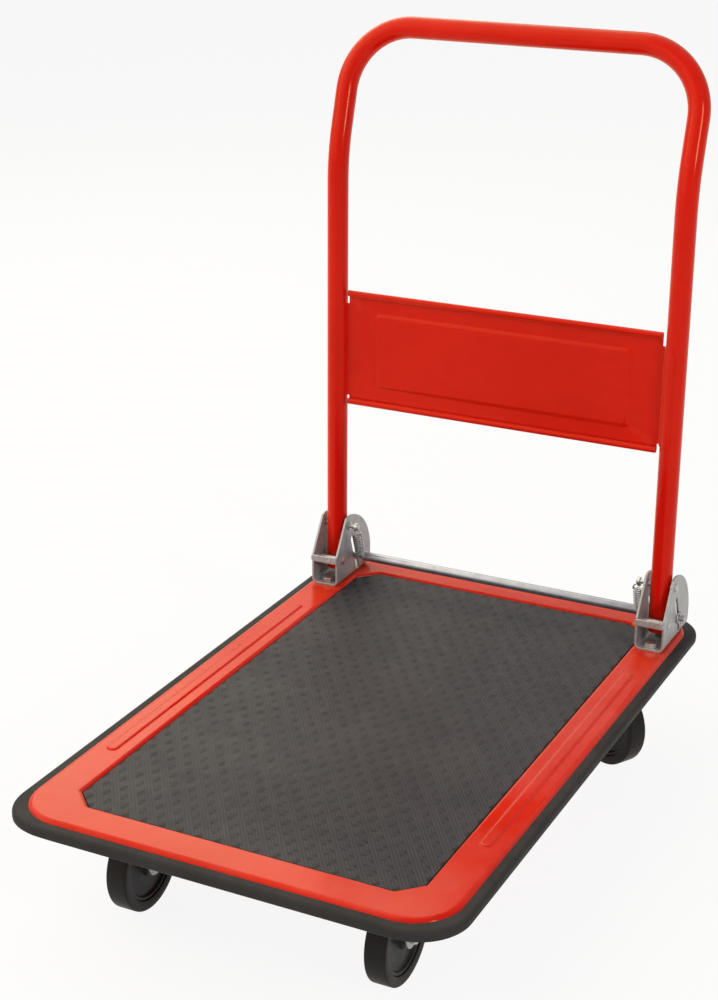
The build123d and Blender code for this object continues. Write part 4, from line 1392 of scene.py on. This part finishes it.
def buildSwivelCaster(side):
    turn = jointMm(f"swivel_{side}_turn")
    axle = jointMm(f"rear_wheel_{side}_spin")
    arm = axle - turn
    still = Matrix.Translation((turn.x, turn.y, 0))
    turned = still @ Matrix.Rotation(atan2(arm.y, arm.x), 4, "Z")
    body, king, race, skirt = f"swivel_{side}", fork["kingRadius"], fork["raceRadius"], fork["skirtRadius"]
    thickness, rim = fork["raceSheet"], fork["raceRim"]
    top = boxMm(f"swivel_fork_{side}")[1].z
    web = top - thickness
    bm = buildFork(hypot(arm.y, arm.x), web, axle.z, fork["swivelLegs"])
    bm.transform(turned)
    makePiece(bm, f"swivel_caster_{side}", "zinc_sheet", body, [f"swivel_fork_{side}"], **foldedSteel)
    bm = addSleeve(bmesh.new(), king + fork["kingPlay"], race, web + fork["raceLift"], top, rim, turned)
    makePiece(bm, f"race_disc_{side}", "zinc_sheet", body)
    low, high = boxMm(f"swivel_plate_{side}")
    bm = bmesh.new()
    addPlate(bm, high.z)
    bm.transform(still)
    makePiece(bm, f"top_plate_{side}", "zinc_sheet", "deck", [f"swivel_plate_{side}"], **foldedSteel)
    bm = addSleeve(bmesh.new(), skirt - thickness, skirt, low.z, high.z - foldedSteel["sheet"], rim, still)
    makePiece(bm, f"race_skirt_{side}", "zinc_sheet", "deck")
    low, high = boxMm(f"king_pin_{side}")
    head, rise = fork["kingHead"]
    profile = [(radius, low.z + rise - height) for radius, height in reversed(domed(head, 0.0, rise))]
    profile += [(king, low.z + rise), (king, high.z)]
    bm = lathe(bmesh.new(), profile, 36, still)
    makePiece(bm, f"king_rivet_{side}", "zinc_hardware", "deck", [f"king_pin_{side}"])


for sideName in sides:
    for endName in ("front", "rear"):
        buildWheel(endName, sideName)
    buildFixedCaster(sideName)
    buildSwivelCaster(sideName)
buildBolts("caster", pi, 0, 19)
print("running gear: wheels, forks, casters, bolts")


# CAD nodes that keep their own shape take the finish of their slot

kept = 0
for part in frame["record"]["subparts"]:
    node = frame["nodes"][part["node"]]
    if node.hide_render:
        continue
    node.data.materials.clear()
    node.data.materials.append(looks[part["material_slot"]])
    kept += 1
print("kept nodes:", kept)


# studio

studio = {
    "floorSize": 40.0,
    "floor": {"Base Color": (0.9, 0.9, 0.9, 1), "Roughness": 0.9, "Specular IOR Level": 0.0},
    "floorWhite": 0.9,          # how much of what the camera sees of the floor is plain white
    "fill": 0.34,               # light from all round
    "skyWhite": 0.68,           # what the camera and mirrored rays see of it
    "lamps": [
        # name, place, aims at, size, power, shade
        ("softBox", (-0.2, -1.6, 2.4), (0.0, 0.0, 0.3), (5.2, 3.0), 72.0, (1.0, 0.92, 0.68)),
        ("sideWall", (2.2, -1.9, 1.65), (-0.3, -0.1, 0.6), (3.8, 2.0), 20.0, (1.0, 0.95, 0.8)),
        ("rightStrip", (1.3, 2.6, 1.75), (-0.3, 0.1, 0.65), (0.45, 0.9), 28.0, (1.0, 0.98, 0.94)),
        ("backGlow", (-2.2, -1.8, 1.9), (0.2, -0.1, 0.13), (1.8, 1.2), 8.5, (1.0, 0.86, 0.6)),
    ],
}

cameraSet = {
    "place": (1.654604, 0.786675, 1.067145),
    "turn": (69.03567, -0.34319, 116.49109),
    "lens": 69.818,
    "sensor": 36.0,
    "farthest": 100.0,
}


def addToScene(name, data):
    made = bpy.data.objects.new(name, data)
    bpy.context.scene.collection.objects.link(made)
    return made


def openRays(desk):
    # 1 for rays that show the background: straight from the camera, mirrored or let through
    path = desk.add("ShaderNodeLightPath").outputs
    seen = desk.math("MAXIMUM", path["Is Camera Ray"], path["Is Glossy Ray"])
    return desk.math("MAXIMUM", seen, path["Is Transmission Ray"])


def buildFloor():
    half = studio["floorSize"] / 2
    mesh = bpy.data.meshes.new("studio_floor")
    corners = [(-half, -half, 0), (half, -half, 0), (half, half, 0), (-half, half, 0)]
    mesh.from_pydata(corners, [], [(0, 1, 2, 3)])
    material = bpy.data.materials.new("paleFloor")
    material.use_nodes = True
    desk = NodeDesk(material.node_tree)
    shader = material.node_tree.nodes["Principled BSDF"]
    for label, value in studio["floor"].items():
        shader.inputs[label].default_value = value
    seen = desk.math("MULTIPLY", openRays(desk), studio["floorWhite"])
    white = desk.add("ShaderNodeEmission", {"Color": (1, 1, 1, 1), "Strength": 1.0})
    both = desk.add("ShaderNodeMixShader", {0: seen, 1: shader.outputs[0], 2: white.outputs[0]})
    desk.feed(material.node_tree.nodes["Material Output"].inputs["Surface"], both.outputs[0])
    mesh.materials.append(material)
    addToScene("studio_floor", mesh)


def buildWorld():
    world = bpy.data.worlds.new("studioAir")
    bpy.context.scene.world = world
    world.use_nodes = True
    desk = NodeDesk(world.node_tree)
    air = world.node_tree.nodes["Background"]
    air.inputs["Color"].default_value = (1, 1, 1, 1)
    strength = desk.spread(openRays(desk), 0.0, 1.0, studio["fill"], studio["skyWhite"])
    desk.feed(air.inputs["Strength"], strength)


def buildLamps():
    for name, place, target, size, power, shade in studio["lamps"]:
        lamp = bpy.data.lights.new(name, "AREA")
        lamp.shape = "RECTANGLE"
        lamp.size, lamp.size_y = size
        lamp.energy = power
        lamp.color = shade
        holder = addToScene(name, lamp)
        holder.location = place
        holder.rotation_euler = (Vector(target) - Vector(place)).to_track_quat("-Z", "Y").to_euler()


def buildCamera():
    lens = bpy.data.cameras.new("photoCamera")
    lens.lens = cameraSet["lens"]
    lens.sensor_width = cameraSet["sensor"]
    lens.sensor_fit = "AUTO"
    lens.clip_end = cameraSet["farthest"]
    camera = addToScene("photoCamera", lens)
    camera.location = cameraSet["place"]
    camera.rotation_euler = [radians(angle) for angle in cameraSet["turn"]]
    bpy.context.scene.camera = camera


buildFloor()
buildWorld()
buildLamps()
buildCamera()
bpy.context.scene.view_settings.view_transform = "Standard"
print("studio: floor, air, lamps, camera")
